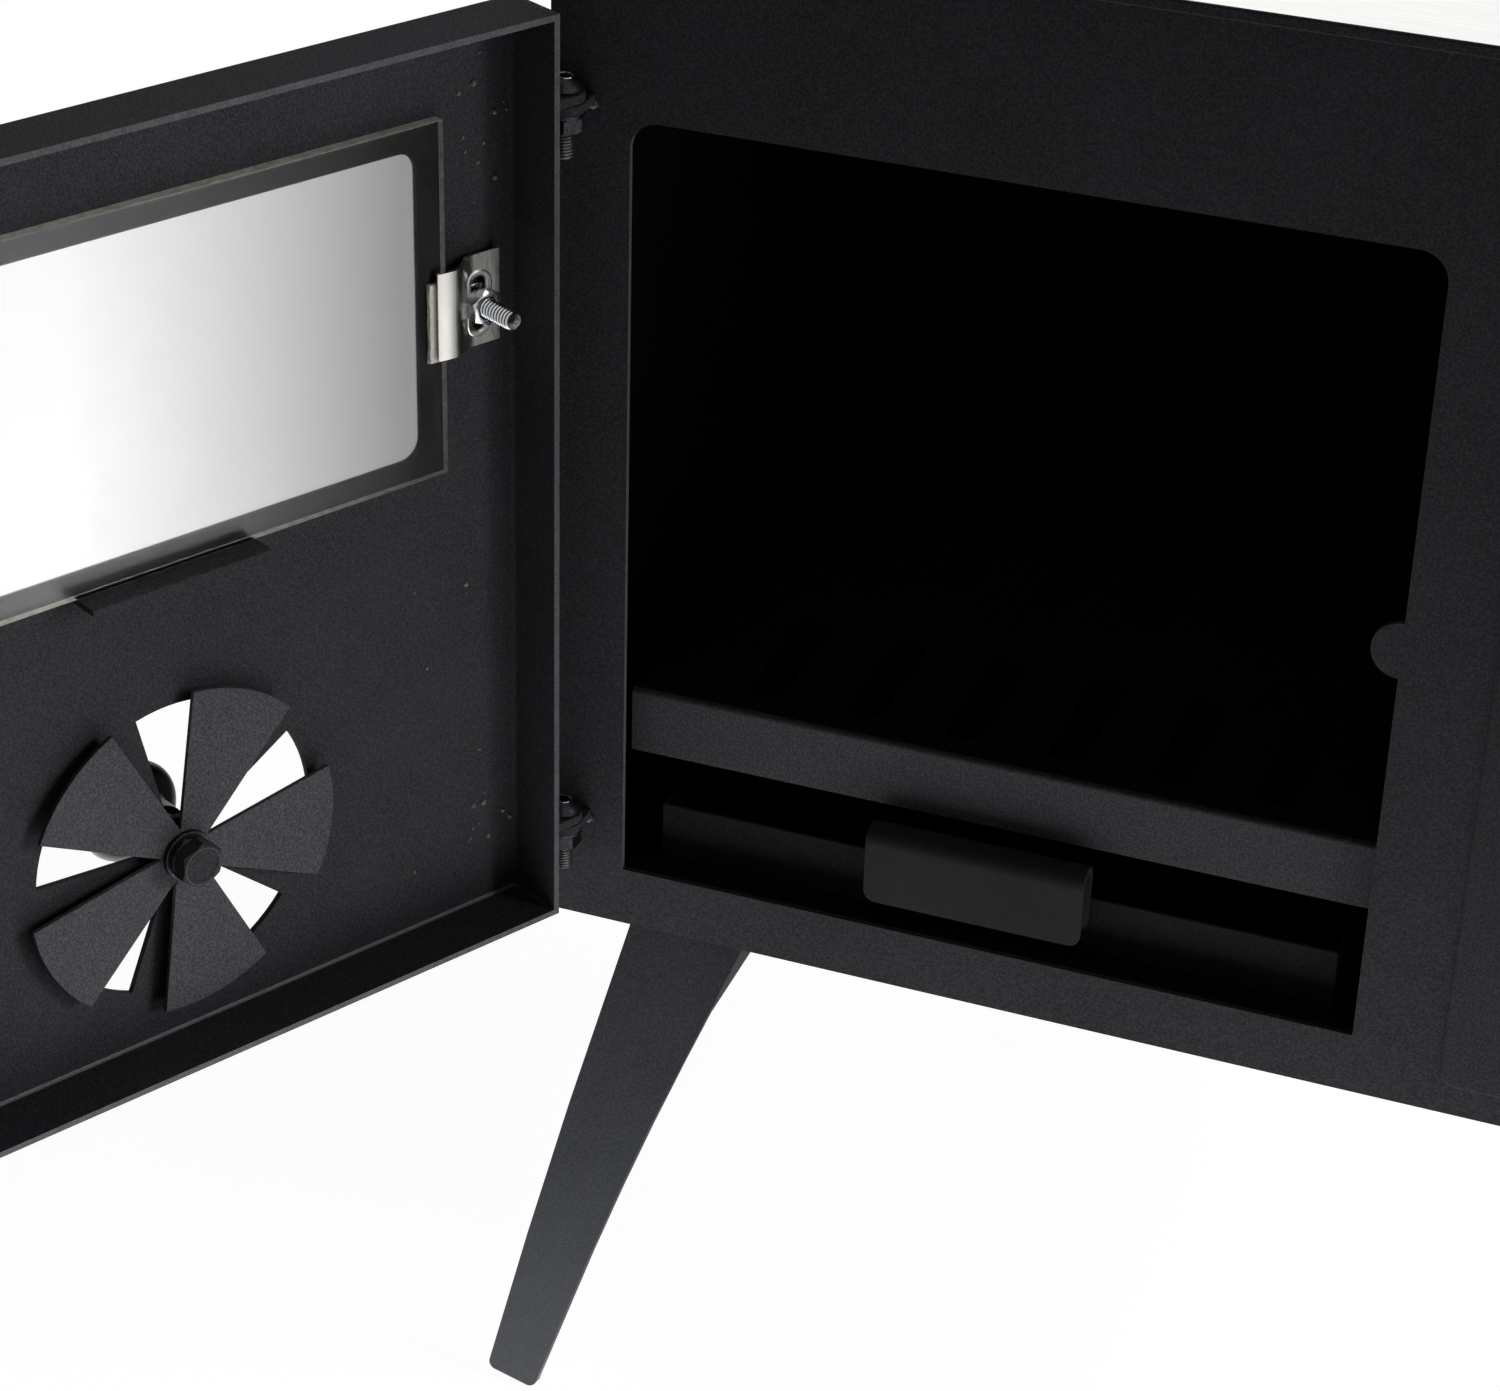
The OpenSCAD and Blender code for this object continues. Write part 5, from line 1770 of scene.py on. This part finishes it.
        # The heads are outside the door, so these bolts are drawn from their ends down to the heads
        turned_over = Axes(HINGE_ORIGIN, ALONG_DOOR, UP, -INTO_STOVE)
        self.shop.threads("clip_bolts", "clip_bolt_set", turned_over,
                          [Vector((b.middle.x, -b.middle.y, -b.low.z - head_h)) for b in bolts], zinc,
                          Body.DOOR, "zinc_plated_steel", self.thread, Radius=radius, Length=tall - head_h,
                          Seed=19, Head=pattern_part(dome_head_mesh(width, head_h)))
        self.shop.plain("clip_washers", "clip_washer_set", zinc, 0.2 * MM, Body.DOOR, "zinc_plated_steel")
        self.shop.nuts("clip_nuts", "clip_nut_set", DOOR_BOLT_AXES, radius + PLAY, zinc, Body.DOOR,
                       "zinc_plated_steel", 23)


@dataclass
class AirVent:
    """The five-bladed vent on its bolt, with the knob outside."""

    shop: Workshop
    count: int = 5
    # Radius of the disc and a blade's width there, then its root's radius and half its root's width
    radius: float = 53 * MM
    blade: float = math.radians(41)
    root_r: float = 8.6 * MM
    root: float = math.radians(36)
    rim_steps: int = 24
    root_steps: int = 6
    # How far the first blade lies under the horizontal
    first: float = math.radians(44.5)
    # Radius of the disc's middle, radius of the bolt and height of its head
    middle_r: float = 8.8 * MM
    bolt_r: float = 4 * MM
    head_h: float = 5.3 * MM
    thread: Thread = Thread(1.25 * MM, 0.6 * MM, 150)
    # The head's bright lip is a painted highlight
    # The head's bright lip: its radius as a share of the width across the flats, how far under the top it
    # starts, and its width
    lip_share: float = 0.45
    lip_down: float = 0.18 * MM
    lip_width: float = 0.22 * MM
    # The middle is this much thinner than the blades on either face, so that no two faces lie in one plane
    thinner: float = 0.1 * MM

    def build(self) -> None:
        """Builds and dresses the vent."""
        finishes = self.shop.finishes
        box = boxes("vent_blades", DOOR_BOLT_AXES)[0]
        head = boxes("vent_bolt", DOOR_BOLT_AXES)[0]
        centre = Vector((head.middle.x, head.middle.y, 0))
        axes = Axes(DOOR_BOLT_AXES.matrix @ centre, ALONG_DOOR, -UP, INTO_STOVE)
        piece = grown("vent_blade_disc", self.blade_mesh(box.low.z, box.size.z), self.shop.blades, axes,
                      finishes.blade, Count=self.count, First=-self.first)
        soften(piece, 0.2 * MM)
        hand_over(piece, Body.VENT, "matte_black_paint", "vent_blades")
        self.hub(axes, head, box)
        for node, slot in (("vent_washer", "black_oxide_steel"), ("vent_spring_washer", "zinc_plated_steel"),
                           ("vent_spacer", "black_oxide_steel")):
            self.shop.plain(node, f"{node}_turned", finishes.black_steel, 0.2 * MM, Body.VENT, slot)
        self.shop.plain("vent_knob", "vent_knob_moulded", finishes.moulding, 0.5 * MM, Body.VENT,
                        "black_bakelite")

    def blade_mesh(self, low: float, thick: float) -> bpy.types.Mesh:
        """One blade from the hub to the rim, standing from low up.

        Args:
            low: height of the blade's lower face.
            thick: its thickness.

        Returns:
            The mesh.
        """
        solid = bmesh.new()
        outline = [(self.radius, -self.blade / 2 + self.blade * i / self.rim_steps)
                   for i in range(self.rim_steps + 1)]
        outline += [(self.root_r, self.root - 2 * self.root * i / self.root_steps)
                    for i in range(self.root_steps + 1)]
        under, over = ([solid.verts.new((r * math.cos(a), r * math.sin(a), z)) for r, a in outline]
                       for z in (low, low + thick))
        solid.faces.new(under[::-1])
        solid.faces.new(over)
        for i in range(len(outline)):
            solid.faces.new((under[i - 1], under[i], over[i], over[i - 1]))
        mesh = bpy.data.meshes.new("blade")
        solid.to_mesh(mesh)
        solid.free()
        return mesh

    def hub(self, axes: Axes, head: Box, disc: Box) -> None:
        """Adds the bolt with its hexagon head, the outer nut and the disc's middle.

        Args:
            axes: frame of the vent.
            head: the bolt's box.
            disc: the disc's box.
        """
        finishes = self.shop.finishes
        bore = self.bolt_r + PLAY
        low, high = disc.low.z + self.thinner, disc.high.z - self.thinner
        middle = turned([ring(self.middle_r, low), ring(self.middle_r, high), ring(bore, high),
                         ring(bore, low)], closed=True)
        middle.transform(axes.matrix)
        piece = new_piece("vent_disc_middle", middle, finishes.blade)
        hand_over(piece, Body.VENT, "matte_black_paint")
        head_h = self.head_h
        under_head = [Vector((0, 0, head.high.z - head_h))]
        across = min(head.size.x, head.size.y)
        self.shop.threads("vent_bolt", "vent_bolt_set", axes, under_head, finishes.paint, Body.VENT,
                          "black_oxide_steel", self.thread, Radius=self.bolt_r, Length=head.size.z - head_h,
                          Seed=8, Head=pattern_part(hex_head_mesh(across, head_h)))
        # A ring of painted highlight round the head's top
        self.shop.lips("vent_bolt_lip", Body.VENT, axes, under_head, self.lip_share * across,
                       head_h - self.lip_down, self.lip_width, finishes.painted_highlight)
        self.shop.nuts("vent_nut", "vent_nut_set", DOOR_BOLT_AXES, bore, finishes.black_steel, Body.VENT,
                       "black_oxide_steel", 9)


@dataclass
class Latch:
    """The latch: shaft, finger, nuts, boss and lever handle."""

    shop: Workshop
    shaft_r: float = 4 * MM
    thread: Thread = Thread(1.25 * MM, 0.6 * MM, 320)

    def build(self) -> None:
        """Builds and dresses the latch."""
        finishes = self.shop.finishes
        shaft = boxes("latch_shaft", DOOR_BOLT_AXES)[0]
        end = Vector((shaft.middle.x, shaft.middle.y, shaft.high.z))
        self.shop.threads("latch_shaft", "latch_shaft_threaded", DOOR_BOLT_AXES, [end], finishes.zinc,
                          Body.LATCH, "zinc_plated_steel", self.thread, Radius=shaft.size.x / 2,
                          Length=shaft.size.z, Seed=1)
        self.shop.nuts("latch_nut", "latch_nut_set", DOOR_BOLT_AXES, self.shaft_r + PLAY, finishes.zinc,
                       Body.LATCH, "zinc_plated_steel", 4)
        for node, finish, slot, edge in (("latch_finger", finishes.zinc, "zinc_plated_steel", 0.4 * MM),
                                         ("latch_boss", finishes.moulding, "black_bakelite", 0.6 * MM),
                                         ("latch_cap_nut", finishes.zinc, "zinc_plated_steel", 0.25 * MM),
                                         ("handle_rod", finishes.zinc, "zinc_plated_steel", 0.3 * MM),
                                         ("handle_grip", finishes.moulding, "black_bakelite", 1.2 * MM)):
            self.shop.plain(node, f"{node}_finished", finish, edge, Body.LATCH, slot)


# ---------- studio ----------


@dataclass(frozen=True)
class Camera:
    """The photograph's camera: where it stands and how it looks, as worked out from the vanishing lines."""

    place: Vector = Vector((44.08, -1115.10, 331.32)) * MM
    yaw: float = math.radians(-19.9216)
    pitch: float = math.radians(29.6716)
    roll: float = math.radians(-1.7245)
    focal_px: float = 3754.51
    width_px: float = 1500
    # How far it sees, in metres
    far: float = 50.0

    def make(self) -> None:
        """Adds the camera and makes it the scene's."""
        level_forward = Vector((math.sin(self.yaw), math.cos(self.yaw), 0))
        forward = math.cos(self.pitch) * level_forward - math.sin(self.pitch) * UP
        level = Vector((math.cos(self.yaw), -math.sin(self.yaw), 0))
        below = forward.cross(level)
        right = math.cos(self.roll) * level + math.sin(self.roll) * below
        down = -math.sin(self.roll) * level + math.cos(self.roll) * below
        data = bpy.data.cameras.new("photograph")
        data.sensor_fit = "HORIZONTAL"
        data.lens = self.focal_px / self.width_px * data.sensor_width
        data.clip_end = self.far
        camera = bpy.data.objects.new("photograph", data)
        turned_to = Matrix((right, -down, -forward)).transposed().to_4x4()
        camera.matrix_world = Matrix.Translation(self.place) @ turned_to
        bpy.context.scene.collection.objects.link(camera)
        bpy.context.scene.camera = camera


@dataclass(frozen=True)
class Studio:
    """A pale floor and soft, even light from above and from the right. Lengths are in metres."""

    floor_reach: float = 30.0
    room_light: float = 0.035
    # Each lamp's power in watts, its place from the stove's middle and its two sides
    top: float = 6.0
    top_at: tuple[float, float, float] = (-1.4, 0.9, 2.0)
    top_size: tuple[float, float] = (1.8, 1.8)
    side: float = 40.0
    side_at: tuple[float, float, float] = (2.4, 0.25, 0.7)
    side_size: tuple[float, float] = (1.2, 1.2)
    # The floor's light before the stove: power, shift to the right, gap to the front, and its two sides
    bounce: float = 2.5
    bounce_shift: float = 0.1
    bounce_gap: float = 0.16
    bounce_size: tuple[float, float] = (1.4, 0.26)
    # The paper glows to the camera; the rest of its tone comes from the lamps, so it keeps the stove's shadow
    paper_glow: float = 0.93
    paper_tone: float = 5.0

    def make(self) -> None:
        """Adds the floor, the lamps and the world."""
        low, high = CAD_BOX
        floor_mesh = bpy.data.meshes.new("floor")
        reach = self.floor_reach
        floor_mesh.from_pydata([(-reach, -reach, low.z), (reach, -reach, low.z), (reach, reach, low.z),
                                (-reach, reach, low.z)], [], [(0, 1, 2, 3)])
        floor = new_piece("floor", floor_mesh, self.floor_finish())
        middle = (low + high) / 2
        self.lamp("top_light", middle + Vector(self.top_at), middle, self.top_size, self.top)
        self.lamp("side_light", middle + Vector(self.side_at), middle, self.side_size, self.side)
        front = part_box("front_plate")[0].y
        before = Vector((middle.x + self.bounce_shift, front - self.bounce_gap, low.z + 1 * MM))
        self.lamp("floor_bounce", before, before + UP, self.bounce_size, self.bounce)
        self.world()
        bpy.context.scene.view_settings.view_transform = "Standard"

    def lamp(self, name: str, place: Vector, aim: Vector, size: tuple[float, float], power: float) -> None:
        """Adds a soft lamp.

        Args:
            name: name of the lamp.
            place: where it hangs.
            aim: what it faces.
            size: its two sides in metres.
            power: its power in watts.
        """
        data = bpy.data.lights.new(name, "AREA")
        data.shape = "RECTANGLE"
        data.size, data.size_y = size
        data.energy = power
        lamp = bpy.data.objects.new(name, data)
        lamp.visible_camera = False
        turn = (aim - place).to_track_quat("-Z", "Y").to_matrix().to_4x4()
        lamp.matrix_world = Matrix.Translation(place) @ turn
        bpy.context.scene.collection.objects.link(lamp)

    def floor_finish(self) -> bpy.types.Material:
        """White paper: it shows white to the camera, and keeps the stove's shadow.

        Returns:
            The material.
        """
        material, tree, shader, coords = blank_material("white_paper")
        path = add(tree, "ShaderNodeLightPath")
        fibres = add(tree, NOISE, {"Vector": coords, "Scale": 1 / (1.5 * MM), "Detail": 2.0,
                                   "Roughness": 0.55})
        base = add(tree, RAMP, {"Fac": fibres}, [(0.2, grey(0.5)), (0.8, grey(0.54))])
        tone = add(tree, MIX, {0: path.outputs["Is Camera Ray"], 6: base, 7: grey(self.paper_tone)},
                   data_type="RGBA")
        wire(tree, shader, {"Base Color": tone.outputs[2], "Roughness": 0.9, "Specular IOR Level": 0.1})
        share = add(tree, MATH, {0: self.shown(tree, path), 1: self.paper_glow}, operation="MULTIPLY")
        shine = add(tree, "ShaderNodeEmission", {"Color": grey(1.0), "Strength": 1.0})
        mixed = add(tree, "ShaderNodeMixShader", {0: share, 1: shader, 2: shine})
        wire(tree, tree.nodes["Material Output"], {"Surface": mixed})
        return material

    def shown(self, tree: bpy.types.NodeTree, path: bpy.types.Node) -> bpy.types.Node:
        """Tells what the camera sees, also in metal and through glass.

        Args:
            tree: tree that gets the nodes.
            path: its Light Path node.

        Returns:
            The node that gives 1 there.
        """
        seen = add(tree, MATH, {0: path.outputs["Is Camera Ray"], 1: path.outputs["Is Transmission Ray"]},
                   operation="MAXIMUM")
        return add(tree, MATH, {0: seen, 1: path.outputs["Is Glossy Ray"]}, operation="MAXIMUM")

    def world(self) -> None:
        """An even room, white where the camera, metal or glass sees it."""
        world = bpy.data.worlds.new("studio")
        world.use_nodes = True
        tree = world.node_tree
        tree.nodes.clear()
        level = add(tree, RANGE, {"Value": self.shown(tree, add(tree, "ShaderNodeLightPath")),
                                  "To Min": self.room_light, "To Max": 1.0})
        light = add(tree, "ShaderNodeBackground", {"Color": grey(1.0), "Strength": level})
        add(tree, "ShaderNodeOutputWorld", {"Surface": light})
        bpy.context.scene.world = world


def main() -> None:
    """Builds the stove's sub-assemblies in order, then the studio."""
    logging.basicConfig(level=logging.INFO, format="%(message)s")
    Camera().make()
    shop = Workshop(Finishes(), bolt_tree(), fastener_tree(), weld_tree(), spatter_tree(), blade_tree())
    for group in (SheetBody, Hob, Hearth, Legs, Hinges, DoorTray, Window, AirVent, Latch):
        LOG.info("building the %s", group.__name__)
        group(shop).build()
    Studio().make()


if __name__ == "__main__":
    main()
